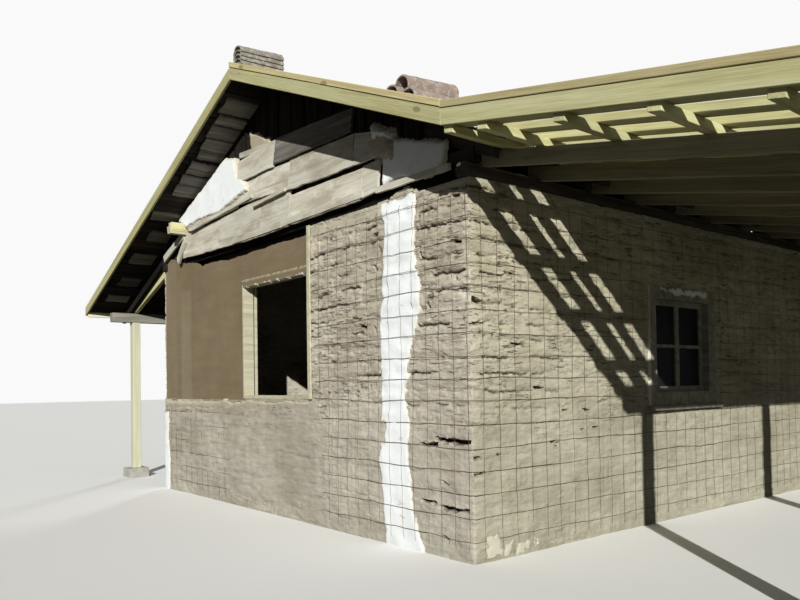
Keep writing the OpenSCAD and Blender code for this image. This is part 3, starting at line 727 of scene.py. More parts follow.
def build_camera():
    """At the photograph's viewing angle."""
    yaw, pitch, roll = (math.radians(angle) for angle in (YAW, PITCH, ROLL))
    forward = Vector((-math.sin(yaw) * math.cos(pitch), math.cos(yaw) * math.cos(pitch), math.sin(pitch)))
    level = Vector((math.cos(yaw), math.sin(yaw), 0))
    over = level.cross(forward)
    right = math.cos(roll) * level + math.sin(roll) * over
    up = -math.sin(roll) * level + math.cos(roll) * over
    cam = bpy.data.objects.new("camera", bpy.data.cameras.new("camera"))
    cam.data.lens = LENS
    cam.data.sensor_width = 36.0
    cam.data.shift_y = SHIFT
    cam.data.clip_end = 200.0
    pose = Matrix((right, up, -forward)).transposed().to_4x4()
    pose.translation = Vector(at(*EYE))
    cam.matrix_world = pose
    bpy.context.scene.collection.objects.link(cam)
    bpy.context.scene.camera = cam


def add_sun(name, strength, degrees, colour, azimuth, elevation):
    """A lamp shining from an azimuth and an elevation."""
    sun = bpy.data.objects.new(name, bpy.data.lights.new(name, "SUN"))
    sun.data.energy = strength
    sun.data.angle = math.radians(degrees)
    sun.data.color = colour
    a, e = math.radians(azimuth), math.radians(elevation)
    toward = Vector((math.cos(a) * math.cos(e), -math.sin(a) * math.cos(e), math.sin(e)))
    sun.rotation_euler = toward.to_track_quat("Z", "Y").to_euler()
    bpy.context.scene.collection.objects.link(sun)


def build_light():
    """A low key light from the front right, a weak one from behind, and a soft white surround."""
    scene = bpy.context.scene
    scene.view_settings.view_transform = "Standard"
    for lamp in LAMPS:
        add_sun(*lamp)
    scene.world = bpy.data.worlds.new("studio")
    scene.world.use_nodes = True
    tree = scene.world.node_tree
    tree.nodes.clear()
    s = Nodes(tree)
    seen = s.node("LightPath", "Is Camera Ray")
    for ray in ("Is Glossy Ray", "Is Transmission Ray"):
        seen = s.maths("MAXIMUM", seen, s.node("LightPath", ray))
    both = {0: seen, 1: s.node("Background", 0, SKY_LIGHT), 2: s.node("Background", 0, SKY_SEEN)}
    s.feed(tree.nodes.new("ShaderNodeOutputWorld").inputs["Surface"], s.node("MixShader", 0, both))


def build_floor():
    """A plain pale floor that keeps the shadow and throws little light back."""
    corners = [(a * FLOOR_HALF, b * FLOOR_HALF, 0) for a, b in ((-1, -1), (1, -1), (1, 1), (-1, 1))]
    s = Paint("pale_floor", 0.9, 0.1)
    seen = s.node("LightPath", "Is Camera Ray")
    mat = s.finish(s.mix(seen, (0.11, 0.106, 0.095), (0.95, 0.95, 0.93)))
    floor = make_object("floor", corners, [(0, 1, 2, 3)], [mat])


# Adobe walls, drawn out round the house: s runs along the outer faces from the front left corner

COURSE = 0.112
BRICK = 0.42
# each wall's first corner, its direction and the way it faces, in degrees
SIDES = np.array([(-1, 0, 1, 0, -90), (0, 0, 0, 1, 0), (0, 1, -1, 0, 90), (-1, 1, 0, -1, 180)], float)
LENGTHS = np.array([GABLE_W, HOUSE_L, GABLE_W, HOUSE_L])
BACK_START = GABLE_W + HOUSE_L
LEFT_START = 2 * GABLE_W + HOUSE_L
ROUND = 2 * (GABLE_W + HOUSE_L)
STARTS = np.array([0.0, GABLE_W, BACK_START, LEFT_START])
# deep openings between courses: two ends and half height, from the near corner
SLOTS = [
    (-0.34, 0.790, -0.19, 0.781, 0.016), (-0.215, 0.776, -0.04, 0.782, 0.012),
    (-0.51, 0.752, -0.44, 0.746, 0.008), (-0.44, 0.745, -0.35, 0.754, 0.015),
    (-0.51, 0.360, -0.37, 0.358, 0.010), (-0.31, 0.331, -0.18, 0.328, 0.013),
    (-0.18, 0.329, -0.06, 0.338, 0.010),
    (-0.29, 0.512, -0.24, 0.492, 0.004), (-0.30, 0.142, -0.25, 0.118, 0.009),
    (0.01, 0.678, 0.07, 0.684, 0.008), (0.0, 0.53, 0.03, 0.57, 0.006), (0.03, 0.57, 0.11, 0.585, 0.006),
    (0.235, 0.690, 0.262, 0.686, 0.006), (1.345, 0.742, 1.368, 0.736, 0.005), (0.82, 0.74, 0.84, 0.70, 0.004),
    (0.79, 0.742, 0.87, 0.735, 0.003), (1.13, 0.815, 1.17, 0.818, 0.003), (1.27, 0.824, 1.34, 0.82, 0.003),
    (-0.50, 2.12, -0.48, 2.05, 0.010), (-0.17, 2.12, -0.10, 2.10, 0.010), (-0.16, 2.42, -0.10, 2.41, 0.010),
    (-0.42, 1.72, -0.40, 1.69, 0.009), (0.03, 1.72, 0.10, 1.70, 0.011), (-0.98, 2.30, -1.03, 2.28, 0.012),
    (-1.02, 2.06, -0.99, 2.02, 0.010), (-1.20, 1.62, -1.14, 1.60, 0.011), (-1.03, 1.60, -1.00, 1.56, 0.009),
    (0.62, 1.134, 0.72, 1.126, 0.005), (0.40, 1.44, 0.50, 1.43, 0.004), (0.92, 0.965, 0.98, 0.96, 0.003),
    (1.16, 0.960, 1.24, 0.956, 0.003),
]

# holes in s and z
FRONT_WINDOW = (GABLE_W + GWIN[0][0], GABLE_W + GWIN[1][0], GWIN[0][2], GWIN[1][2])
RIGHT_WINDOW = (GABLE_W + SWIN[0][1], GABLE_W + SWIN[1][1], SWIN[0][2], SWIN[1][2])
DOORWAY = (GABLE_W + DOOR[0][1], GABLE_W + DOOR[1][1], DOOR[0][2], DOOR[1][2])
BACK_WINDOW = (BACK_START - GWIN[1][0], BACK_START - GWIN[0][0], GWIN[0][2], GWIN[1][2])
LEFT_WINDOW = (LEFT_START + HOUSE_L - SWIN[1][1], LEFT_START + HOUSE_L - SWIN[0][1], SWIN[0][2], SWIN[1][2])
LEDGE = PLASTER[0][2]
HEAD = GWIN[1][2]
PLASTER_TOP = 2.40
# where the gables stand back: behind the plaster, and where they are broken above it
PANEL_FACE, BROKEN_FACE = -0.040, -0.115
# the end of a gable that stays whole above the plaster
WHOLE_END = 0.3
# end of the part of the right wall that is drawn finely
NEAR_END = GABLE_W + 3.3


def slot_depth(s, z):
    """How deep in one of the listed openings a point of the face lies, from 0 to 1."""
    x = s - GABLE_W
    depth = np.zeros_like(s)
    for x0, z0, x1, z1, half in SLOTS:
        near = (np.abs(x - (x0 + x1) / 2) < 0.5) & (np.abs(z - (z0 + z1) / 2) < 0.3)
        if not near.any():
            continue
        px, pz = x[near], z[near]
        rough = 0.55 * noise(px / 0.035, pz / 0.03, 77) + 0.25 * noise(px / 0.011, pz / 0.011, 78)
        gap = segment_distance(px, pz, x0, z0, x1, z1) / (half * (1 + rough))
        depth[near] = np.maximum(depth[near], 1 - smooth(gap, 0.7, 1.25))
    return depth


def adobe_relief(s, z):
    """How far the face stands out at distance s round the house, and how deep in a crack it is, which sets
    the painted shade of the crack.
    """
    upper = 0.22 + 0.78 * smooth(z, 0.75, 1.25)
    # the side wall is less washed out than the gable
    upper = upper * (1 - 0.35 * smooth(s, GABLE_W + 0.1, GABLE_W + 0.8))
    wz = z + 0.020 * noise(s / 0.45, z / 0.5, 2) + 0.009 * noise(s / 0.11, z / 0.12, 3)
    c = wz / COURSE
    row = np.floor(c + 0.5)
    jagged = 0.007 * noise(s / 0.045, row * 3.7, 27) + 0.005 * noise(s / 0.016, row * 1.9, 28)
    bed_gap = np.abs((c - row) * COURSE + jagged)
    # beds washed out in short stretches
    area = noise(s / 0.7, z / 0.4, 41)
    stretch = noise(s / 0.16, row * 5.3, 5) + 0.35 * noise(s / 0.04, row * 3.1, 6) + 0.5 * area
    bed_w = 0.003 + 0.0065 * np.abs(noise(s / 0.08, row * 9.1, 4))
    bed = np.exp(-(bed_gap / bed_w) ** 2) * smooth(stretch, 0.0, 0.45)
    # upright joints, few of them open
    course = np.floor(c)
    b = (s + hash01(course, course * 0, 21) * BRICK + 0.02 * noise(z / 0.05, s / 0.3, 8)) / BRICK
    brick = np.floor(b + 0.5)
    head_gap = np.abs(b - brick) * BRICK
    open_head = smooth(hash01(brick, course, 22), 0.6, 0.95) * (0.5 + 0.5 * noise(s / 0.05, z / 0.03, 9))
    head = np.exp(-(head_gap / 0.007) ** 2) * open_head
    block = hash01(np.floor(b), course, 23) - 0.5
    # sharp-edged scales, thin flakes and pits
    scale = smooth(noise(s / 0.17, wz / 0.034, 12) + 0.5 * noise(s / 0.05, wz / 0.016, 19), -0.08, 0.08)
    thin = np.clip(noise(s / 0.10, wz / 0.010, 13) - 0.42, 0, 1)
    thin = thin * smooth(noise(s / 0.4, z / 0.2, 43), -0.3, 0.4)
    pit = smooth(noise(s / 0.04, z / 0.020, 14), 0.66, 0.92) * smooth(noise(s / 0.4, z / 0.3, 15), -0.1, 0.5)
    lumps = 0.012 * fbm(s / 0.9, z / 0.6, 16, 2) + 0.006 * fbm(s / 0.12, z / 0.06, 17, 3)
    grain = 0.0022 * fbm(s / 0.03, z / 0.016, 18, 2)
    runs = 0.0020 * noise(s / 0.030, z / 0.5, 33) * (1.1 - upper)
    worn = smooth(bed_gap, 0.0, 0.035) - 1
    carved = 0.006 * worn + 0.007 * (scale - 1) - 0.026 * bed - 0.014 * head - 0.016 * thin - 0.016 * pit
    deep = slot_depth(s, z)
    # corners knocked off course by course
    turn = np.min([np.abs(s - start) for start in (*STARTS, ROUND)], axis=0)
    chip = 0.5 + 0.5 * noise(wz / 0.045, np.floor(s / 9), 25) + 0.35 * noise(wz / 0.016, s / 0.05, 26)
    knock = np.exp(-(turn / 0.05) ** 2) * (0.004 + 0.020 * np.clip(chip, 0, 1)) * (0.5 + 0.5 * upper)
    relief = lumps + grain + runs + upper * (0.008 * block + carved) - knock - 0.07 * deep - 0.002
    # painted shade: beds, joints, flakes, pits and openings take the dark crack colour by how deep they are
    # carved
    cav = np.clip(upper * (0.95 * bed + 0.6 * head + 0.9 * thin + 0.7 * pit) + deep, 0, 1)
    return np.clip(relief, -0.09, 0.012), cav


def along(s):
    """For each s: distance along its wall, the wall's length, first corner, direction and facing angle."""
    s = np.mod(s, ROUND)
    k = np.searchsorted(STARTS, s, "right") - 1
    cx, cy, dx, dy, facing = np.moveaxis(SIDES[k], -1, 0)
    return s - STARTS[k], LENGTHS[k], cx * GABLE_W, cy * HOUSE_L, dx, dy, np.radians(facing)


def outline(s):
    """Plan point and outward normal at distance s round the outer faces, with rounded corners."""
    t, length, x, y, dx, dy, facing = along(s)
    # beyond the centre of a rounded corner the face turns by up to 45 degrees
    centre = np.clip(t, CORNER_R, length - CORNER_R)
    turned = facing + (t - centre) / CORNER_R * math.pi / 4
    nx, ny = np.cos(turned), np.sin(turned)
    x = x + dx * centre + CORNER_R * (nx - np.cos(facing))
    y = y + dy * centre + CORNER_R * (ny - np.sin(facing))
    return x, y, nx, ny


def on_side(s):
    """1 on the long walls, 0 on the gables."""
    s = np.mod(s, ROUND)
    right = smooth(s, GABLE_W - 0.01, GABLE_W + 0.06) * (1 - smooth(s, BACK_START - 0.06, BACK_START + 0.01))
    left = smooth(s, LEFT_START - 0.01, LEFT_START + 0.06) * (1 - smooth(s, ROUND - 0.06, ROUND))
    return right + left


def in_panel(s, z):
    """Where a gable is set back behind its plaster: beside the window above its ledge, and over it."""
    over = z > HEAD - NEAR
    front = between(s, -NEAR, np.where(over, FRONT_WINDOW[1] - NEAR, FRONT_WINDOW[0] + NEAR))
    back = between(s, np.where(over, BACK_WINDOW[0], BACK_WINDOW[1]) - NEAR, LEFT_START + NEAR)
    return (front | back) & (z > LEDGE)


def inner_points(s, z):
    """Inner face across from s: the gables are thin round their windows."""
    t, length, x, y, dx, dy, facing = along(s)
    t = np.clip(t, WALL_T, length - WALL_T)
    x = x + dx * t - WALL_T * np.cos(facing)
    y = y + dy * t - WALL_T * np.sin(facing)
    thin = z > LEDGE + NEAR
    y = np.where(thin & between(s, WALL_T, FRONT_WINDOW[1] - NEAR), PANEL_T, y)
    y = np.where(thin & between(s, BACK_WINDOW[0] - NEAR, LEFT_START - WALL_T), HOUSE_L - PANEL_T, y)
    return at(x, y, z)


def clear_of(holes, cols, rows):
    """Which cells of a grid lie in none of the holes."""
    mid_s = (cols[1:] + cols[:-1])[:, None] / 2
    mid_z = (rows[1:] + rows[:-1])[None] / 2
    keep = np.ones((len(cols) - 1, len(rows) - 1), bool)
    for s0, s1, z0, z1 in holes:
        keep &= ~(between(mid_s, s0, s1) & between(mid_z, z0, z1))
    return keep


def wall(name, node, cols, rows, *holes):
    """A closed wall: worn outer face, plain inner face, and reveals round its holes."""
    s, z = np.meshgrid(cols, rows, indexing="ij")
    x, y, nx, ny = outline(s)
    relief, cav = adobe_relief(s, z)
    panel = in_panel(s, z)
    # above the plaster the wall is broken back, in the dark under the boards, and there it is painted with
    # the full crack colour as painted shade
    broken = panel & (z > PLASTER_TOP) & (s % BACK_START > WHOLE_END)
    relief = np.where(panel, np.where(broken, BROKEN_FACE, PANEL_FACE), relief)
    cav = np.where(broken, 1.0, np.where(panel, 0.0, cav))
    # the inner face has as few rows as the holes and the ledge allow
    levels = {0, len(rows) - 1, *[int(np.argmin(abs(rows - v))) for hole in holes for v in hole[2:]]}
    ledge = int(np.argmin(abs(rows - LEDGE)))
    if 0 < ledge < len(rows) - 1:
        levels |= {ledge, ledge + 1}
    front = at(x + nx * relief, y + ny * relief, z)
    verts, faces, used = sheet(front, inner_points(s, z), clear_of(holes, cols, rows), sorted(levels))
    attrs = {"cav": cav, "tone": on_side(s)}
    attrs = {key: np.append(value, np.zeros(s.size))[used] for key, value in attrs.items()}
    obj = make_object(name, verts, faces, [M["adobe"]], attrs=attrs)
    bm = bmesh.new()
    bm.from_mesh(obj.data)
    bmesh.ops.dissolve_degenerate(bm, dist=1e-6, edges=bm.edges)
    bm.to_mesh(obj.data)
    bm.free()
    soften(obj, 50)
    settle(obj, node)


def build_walls():
    """The four walls and the footing, finest round the near corner."""
    heights = RIGHT_WINDOW[2:]
    wall("front_adobe_left", "front_gable_wall",
         marks(-WALL_T, FRONT_WINDOW[1], (0.030, 0.09), 0.0, FRONT_WINDOW[0]),
         marks(FOOT_H, WALL_H, (0.012, 0.03), LEDGE, PLASTER_TOP, *FRONT_WINDOW[2:]), FRONT_WINDOW)
    wall("front_adobe_right", "front_gable_wall",
         marks(FRONT_WINDOW[1], GABLE_W + WALL_T, (0.0095, 0.04), GABLE_W),
         marks(FOOT_H, WALL_H, (0.0070, 0.03)))
    wall("right_adobe_near", "right_side_wall",
         marks(GABLE_W + WALL_T, NEAR_END, (0.0125, 0.04), *RIGHT_WINDOW[:2]),
         marks(FOOT_H, WALL_H, (0.0082, 0.03), *heights), RIGHT_WINDOW)
    wall("right_adobe_far", "right_side_wall",
         marks(NEAR_END, BACK_START - WALL_T, (0.026, 0.08), *DOORWAY[:2]),
         marks(FOOT_H, WALL_H, (0.0125, 0.04), DOORWAY[3]), (*DOORWAY[:2], 0, DOORWAY[3]))
    wall("back_adobe", "back_gable_wall",
         marks(BACK_START - WALL_T, LEFT_START + WALL_T, (0.040, 0.1),
               BACK_START, *BACK_WINDOW[:2], LEFT_START),
         marks(FOOT_H, WALL_H, (0.018, 0.05), LEDGE, *BACK_WINDOW[2:]), BACK_WINDOW)
    wall("left_adobe", "left_side_wall",
         marks(LEFT_START + WALL_T, ROUND - WALL_T, (0.040, 0.1), *LEFT_WINDOW[:2]),
         marks(FOOT_H, WALL_H, (0.018, 0.05), *heights), LEFT_WINDOW)
    # the footing carries the same face down to the ground
    rows = marks(0.0, FOOT_H, (0.0082, 0.03), DOORWAY[2])
    wall("near_footing", "wall_footing", marks(-WALL_T, NEAR_END, (0.0125, 0.05), 0.0, GABLE_W), rows)
    wall("far_footing", "wall_footing",
         marks(NEAR_END, ROUND - WALL_T, (0.035, 0.1), *DOORWAY[:2], BACK_START, LEFT_START), rows,
         (*DOORWAY[:2], DOORWAY[2], FOOT_H + 1))


# Fence wire: height of the lowest level wire, their pitch, number and radius
LEVEL_FIRST, LEVEL_PITCH, LEVEL_COUNT, LEVEL_R = 0.137, 0.152, 16, 0.0019
# uprights: where the first one stands, their pitch and number on the front, right, back and left
UPRIGHTS = [(GABLE_W - 0.034, -0.1343, 38), (GABLE_W + 0.105, 0.1555, 51),
            (BACK_START + 0.07, 0.15, 34), (LEFT_START + 0.08, 0.15, 54)]
UPRIGHT_R = 0.0011
# stretches of the front gable: wires half sunk in the mud, wires covered by it, and the lime strip
HALF_SUNK = (0.02, GABLE_W - 3.4)
COVERED = (GABLE_W - 3.4, GABLE_W - 1.75)
OVER_LIME = (GABLE_W - 1.02, GABLE_W - 0.45)
# bare ends of the wires, and the room left round openings
WIRE_END, WIRE_MARGIN = 0.02, 0.03


def runs(lo, hi, blocked):
    """What is left of a stretch once the blocked parts are taken out."""
    parts = [(lo, hi)]
    for a, b in blocked:
        parts = [p for c, d in parts for p in ((c, min(d, a)), (max(c, b), d)) if p[1] - p[0] > 0.06]
    return parts


def wire_path(s, z, seed):
    """A wire that wanders a little over the face, its ends pushed into the mud."""
    x, y, nx, ny = outline(s)
    relief, _ = adobe_relief(s, z)
    out = np.maximum(relief, -0.004) + 0.004 + 0.004 * noise(s / 0.2 + seed * 3.7, z / 0.2, seed)
    # low on the gable the wires are half sunk at its far end, and covered with mud under the window
    low = z < LEDGE
    out = np.where(low & between(s, *HALF_SUNK), out - 0.0045, out)
    out = np.where(low & between(s, *COVERED), out - 0.03, out)
    # over the lime strip they stand clear of it
    out = np.where(between(s, *OVER_LIME), np.maximum(out, relief + 0.016), out)
    out[[0, -1]] = -0.02
    return at(x + nx * out, y + ny * out, z)


def steps_along(lo, hi, steps):
    """Points along a wire, three at least."""
    return np.linspace(lo, hi, max(3, int((hi - lo) / fine(*steps))))


def build_wires():
    """Fence wire tied over the mud: level wires and uprights, clear of openings and plaster."""
    room = np.array([-1, 1, -1, 1]) * WIRE_MARGIN
    blocks = [hole + room for hole in (RIGHT_WINDOW, LEFT_WINDOW, FRONT_WINDOW, BACK_WINDOW, DOORWAY)]
    blocks.append((0.0, FRONT_WINDOW[1] + 0.04, LEDGE - 0.01, WALL_H))
    blocks.append((BACK_WINDOW[0] - 0.04, LEFT_START, LEDGE - 0.01, WALL_H))
    builder = Builder()
    for k in range(LEVEL_COUNT):
        level = LEVEL_FIRST + LEVEL_PITCH * k
        blocked = [(a, b) for a, b, c, d in blocks if c < level < d]
        for s0, s1 in runs(WIRE_END, ROUND - WIRE_END, blocked):
            s = steps_along(s0, s1, (0.05, 0.15))
            z = level + 0.010 * noise(s / 0.5, k * 1.7, 61) + 0.004 * noise(s / 0.09, k * 2.3, 62)
            tube(builder, wire_path(s, z, 70 + k), LEVEL_R)
    places = [first + pitch * k for first, pitch, count in UPRIGHTS for k in range(count)]
    for k, place in enumerate(places):
        blocked = [(c, d) for a, b, c, d in blocks if a < place < b]
        for z0, z1 in runs(WIRE_END, WALL_H - WIRE_MARGIN, blocked):
            z = steps_along(z0, z1, (0.06, 0.2))
            s = place + 0.008 * noise(z / 0.5, k * 1.3, 63) + 0.003 * noise(z / 0.08, k * 2.9, 64)
            tube(builder, wire_path(s, z, 90 + k), UPRIGHT_R)
    builder.place("wall_wires", ["wire"])


# Coats of lime and mud, given by outlines of x and z on the front gable

LIME_STRIP = [(-0.94, 2.515), (-0.912, 2.29), (-0.925, 2.09), (-0.94, 1.87), (-0.957, 1.573), (-0.967, 1.1),
              (-0.962, 0.893), (-0.915, 0.885), (-0.912, 0.750), (-0.968, 0.742), (-0.975, 0.62),
              (-0.946, 0.386), (-0.941, 0.092), (-0.908, -0.05), (-0.455, -0.05), (-0.494, 0.052),
              (-0.606, 0.28), (-0.612, 0.49), (-0.635, 0.664), (-0.625, 0.843), (-0.677, 1.054),
              (-0.651, 1.254), (-0.591, 1.431), (-0.50, 1.685), (-0.471, 1.796), (-0.505, 1.915),
              (-0.571, 2.117), (-0.555, 2.282), (-0.538, 2.515)]
RIGHT_PATCH = [(-0.91, 3.015), (-0.227, 2.805), (-0.25, 2.642), (-0.373, 2.581), (-0.707, 2.655),
               (-0.919, 2.628)]
LEFT_PATCH = [(-4.55, 3.015), (-3.389, 3.433), (-3.197, 3.387), (-3.139, 3.196), (-2.997, 3.126),
              (-2.939, 3.037), (-3.143, 3.001), (-3.533, 2.927), (-4.054, 2.938), (-4.311, 2.906)]
MUD_LUMP = [(-1.085, 2.954), (-1.018, 3.119), (-0.768, 3.035), (-0.727, 2.791), (-0.987, 2.854)]
LUMP_TOP = [(-1.01, 3.12), (-0.78, 3.05), (-0.75, 2.93), (-0.97, 2.99)]
CREAM_PATCH = [(-2.947, 3.596), (-2.568, 3.447), (-2.569, 3.364), (-2.931, 3.418)]
LEDGE_MUD = [(-5.08, 0.93), (-3.5, 0.955), (-1.95, 0.985), (-1.93, 1.04), (-3.5, 1.015), (-5.08, 1.0)]
# mud heaped on the wall's top under the boards, and over the top of the lime
TOP_MUD = [(-1.93, 2.395), (-0.95, 2.395), (-0.945, 2.500), (-0.60, 2.525), (-0.545, 2.50), (-0.555, 2.395),
           (-0.36, 2.395), (-0.40, 2.430), (-0.50, 2.485), (-0.53, 2.545), (-0.655, 2.580), (-0.78, 2.548),
           (-0.95, 2.525), (-1.20, 2.505), (-1.93, 2.507)]
FAR_CORNER = [(-5.09, -0.05), (-4.93, -0.05), (-4.915, 0.35), (-4.95, 0.6), (-4.93, 0.9), (-5.09, 0.88)]
# the same at the foot of the right wall, given by boxes of y and z
FOOT_PATCHES = [(0.10, 0.02, 0.245, 0.165), (0.28, 0.02, 0.355, 0.10), (0.40, 0.01, 0.545, 0.10),
                (0.585, 0.035, 0.63, 0.09), (0.735, 0.01, 0.815, 0.055)]
# front of the uprights behind the boards of the gable
UPRIGHT_FACE = -0.022


def blurred(grid, k):
    """A grid averaged over k steps each way."""
    kernel = np.ones(2 * k + 1) / (2 * k + 1)

    def average(line):
        return np.convolve(np.pad(line, k, mode="edge"), kernel, "valid")

    for axis in (0, 1):
        grid = np.apply_along_axis(average, axis, grid)
    return grid


def coat(builder, points, lift, edge, rough, seed, bed=None, wave=0.15, back=0.02, mat=0, right=False,
         rim=0.8):
    """A ragged coat over an outline: lift thick, thinner within edge of its rim, on the mud or on a flat bed.

    It lies on the front gable, or on the right wall.
    """
    step = fine(0.0125, 0.03)
    xs, zs = zip(*points)
    x, z = np.meshgrid(np.arange(min(xs) - 0.06, max(xs) + 0.06, step),
                       np.arange(max(0.0, min(zs) - 0.06), max(zs) + 0.06, step), indexing="ij")
    d = inside_distance(x, z, points) + rough * fbm(x / wave, z / wave, seed, 4, 0.65)
    under = bed
    if bed is None:
        relief, _ = adobe_relief(GABLE_W + x, z)
        soft = blurred(relief, max(1, int(0.04 / step)))
        under = soft + 0.35 * np.clip(relief - soft, 0, 1)
    swell = 1 + 0.35 * fbm(x / 0.12, z / 0.12, seed + 5, 3)
    inside = d > 0
    out = under + np.where(inside, 0.0015 + lift * smooth(d, -0.004, edge) * swell, -0.012)
    front, behind = (at(out, x, z), at(-back, x, z)) if right else (at(x, -out, z), at(x, back, z))
    keep = inside[1:, 1:] | inside[:-1, 1:] | inside[1:, :-1] | inside[:-1, :-1]
    verts, faces, used = sheet(front, behind, keep)
    worn = rim * (1 - smooth(d, 0.0, 0.025))
    builder.add(verts, faces, cav=worn.ravel()[used % d.size], mat=mat)


def box_outline(x0, z0, x1, z1):
    """A box, as an outline."""
    return [(x0, z0), (x1, z0), (x1, z1), (x0, z1)]


def build_coats():
    """Lime and mud left on the front gable and on the right wall."""
    builder = Builder()
    lime, mud, plaster, dusty, wall_mud = range(5)
    coat(builder, LIME_STRIP, 0.007, 0.02, 0.03, 31, wave=0.1, mat=lime)
    coat(builder, FAR_CORNER, 0.006, 0.02, 0.02, 32, mat=lime)
    coat(builder, LEDGE_MUD, 0.006, 0.03, 0.03, 36, wave=0.25, mat=mud)
    coat(builder, TOP_MUD, 0.002, 0.02, 0.028, 41, wave=0.07, back=0.05, mat=wall_mud, rim=0.0)
    # on the boards of the gable
    coat(builder, RIGHT_PATCH, 0.020, 0.03, 0.03, 33, UPRIGHT_FACE, back=0.03, mat=lime)
    coat(builder, CREAM_PATCH, 0.012, 0.02, 0.05, 37, UPRIGHT_FACE, 0.08, 0.03, mud)
    coat(builder, LEFT_PATCH, 0.008, 0.015, 0.014, 34, 0.036, 0.08, 0.022, lime)
    coat(builder, MUD_LUMP, 0.055, 0.06, 0.05, 35, UPRIGHT_FACE, 0.1, 0.03, mud)
    coat(builder, LUMP_TOP, 0.05, 0.05, 0.04, 39, 0.0, 0.08, 0.03, lime)
    # plaster over the head of the window, with broken lime along its edge
    x0, x1 = GWIN[0][0], GWIN[1][0]
    low = HEAD - 0.036
    over = [(x0 + 0.03, HEAD - 0.035), (x1, HEAD - 0.035), (x1, HEAD + 0.03), (x0 - 0.02, HEAD + 0.03)]
    coat(builder, over, 0.005, 0.01, 0.012, 38, 0.0, 0.06, 0.02, plaster)
    for k in range(6):
        x = x0 + 0.10 + 0.19 * k
        wide = 0.02 + 0.06 * chance(k, 5)
        points = [(x - wide, low), (x + wide, low), (x + wide, low + 0.016), (x - wide, low + 0.012)]
        coat(builder, points, 0.006, 0.01, 0.010, 50 + k, 0.006, 0.05, 0.02, lime)
    for k, box in enumerate(FOOT_PATCHES):
        coat(builder, box_outline(*box), 0.006, 0.02, 0.045, 60 + k, wave=0.05, mat=dusty, right=True)
    # lime wiped over the head and the near edge of the side window
    face = SWIN[1][0]
    y0, y1 = RIGHT_WINDOW[0] - GABLE_W, RIGHT_WINDOW[1] - GABLE_W
    sill, top = RIGHT_WINDOW[2:]
    smear = [(y0 + 0.09, top - 0.02), (y0 + 0.45, top - 0.075), (y1 - 0.12, top - 0.06),
             (y1 - 0.14, top - 0.01)]
    edge = box_outline(y0, sill, y0 + 0.022, top)
    coat(builder, smear, 0.003, 0.01, 0.035, 66, face, 0.05, 0.01, lime, True)
    coat(builder, edge, 0.003, 0.004, 0.010, 67, face, 0.08, 0.01, lime, True)
    builder.place("gable_coats", ["lime", "mud", "plaster", "dusty", "adobe"], 45)


# top of the mud plaster along x
RAGGED_TOP = [(-5.06, 2.68), (-4.85, 2.64), (-4.63, 2.59), (-4.47, 2.535), (-4.31, 2.53), (-4.13, 2.488),
              (-4.08, 2.455), (-3.75, 2.458), (-3.38, 2.437), (-2.80, 2.450), (-2.0, 2.457)]


def build_plaster():
    """Mud plaster round the gable windows, with a ragged top under the boards."""
    builder = Builder()
    hole_x, sill = GWIN[0][0], GWIN[0][2]
    cols = marks(PLASTER[0][0] + 0.004, PLASTER[1][0], (0.022, 0.08), hole_x)
    rows = marks(LEDGE, WALL_H - 0.04, (0.018, 0.06), sill, HEAD)
    keep = clear_of([(hole_x, math.inf, sill, HEAD)], cols, rows)
    for mirror in (False, True):
        x, z = np.meshgrid(cols, rows, indexing="ij")
        seed = 81 + 9 * mirror
        top = np.interp(x, *zip(*RAGGED_TOP)) + 0.014 * fbm(x / 0.12, seed, seed, 4, 0.6)
        z = np.where(z > HEAD, HEAD + (z - HEAD) * (top - HEAD) / (rows[-1] - HEAD), z)
        y = 0.019 + 0.005 * fbm(x / 0.6, z / 0.5, seed + 1, 3) + 0.0016 * fbm(x / 0.07, z / 0.05, seed + 2, 3)
        verts, faces, used = sheet(at(x, y, z), at(x, 0.042, z), keep)
        band = smooth(x, -4.63, -4.59) * (1 - smooth(x, -4.37, -4.31)) * (1 - smooth(z, 2.1, 2.3))
        grey = 1 - smooth(x, -4.8, -4.66)
        pale = np.clip(0.28 * band + 0.22 * grey + 0.12 * fbm(x / 0.3, z / 0.5, seed + 4, 3), 0, 1)
        builder.add(verts, faces, cav=pale.ravel()[used % x.size], mirror=mirror)
    builder.place("window_plaster", ["plaster"], 40, "gable_plaster")


# Boards of the gable: left and right end, then height at low left, low right, high left and high right

BOARD_ROWS = [
    (-4.42, -3.57, 2.583, 2.563, 2.846, 2.872), (-3.56, -2.72, 2.562, 2.550, 2.876, 2.916),
    (-2.708, -2.202, 2.552, 2.566, 2.898, 2.886), (-2.192, -1.14, 2.567, 2.580, 2.832, 2.830),
    (-1.13, -0.93, 2.582, 2.598, 2.842, 2.846),
    (-4.31, -3.15, 2.862, 2.905, 3.118, 3.135), (-3.14, -2.20, 2.930, 2.884, 3.128, 3.142),
    (-2.19, -1.24, 2.874, 2.862, 3.150, 3.122), (-1.23, -0.80, 2.862, 2.868, 3.118, 3.030),
    (-3.62, -2.45, 3.145, 3.140, 3.34, 3.39), (-2.44, -1.25, 3.156, 3.135, 3.40, 3.33),
]
# their low and high edge, from the gable's face, and their thickness
BOARD_LOW, BOARD_HIGH, BOARD_THICK = -0.034, -0.006, 0.022
# narrow laths: left end, its height, right end, its height, width, face and thickness
LATHS = [
    (-0.94, 2.610, -0.15, 2.606, 0.045, -0.036, 0.024),
    (-4.208, 2.860, -2.824, 2.950, 0.034, -0.052, 0.022),
    (-2.806, 2.856, -2.228, 2.886, 0.030, -0.050, 0.022),
    (-3.134, 3.411, -2.337, 3.359, 0.050, -0.004, 0.026),
    (-3.230, 2.588, -2.300, 2.594, 0.058, -0.044, 0.012),
    (-2.292, 2.598, -1.100, 2.616, 0.056, -0.044, 0.012),
]
# boards broken loose at the left end of the front gable, in the same terms
LOOSE = [(-4.97, 2.655, -4.43, 2.845, 0.080, -0.030, 0.020),
         (-4.555, 2.57, -4.355, 2.775, 0.085, -0.040, 0.020)]
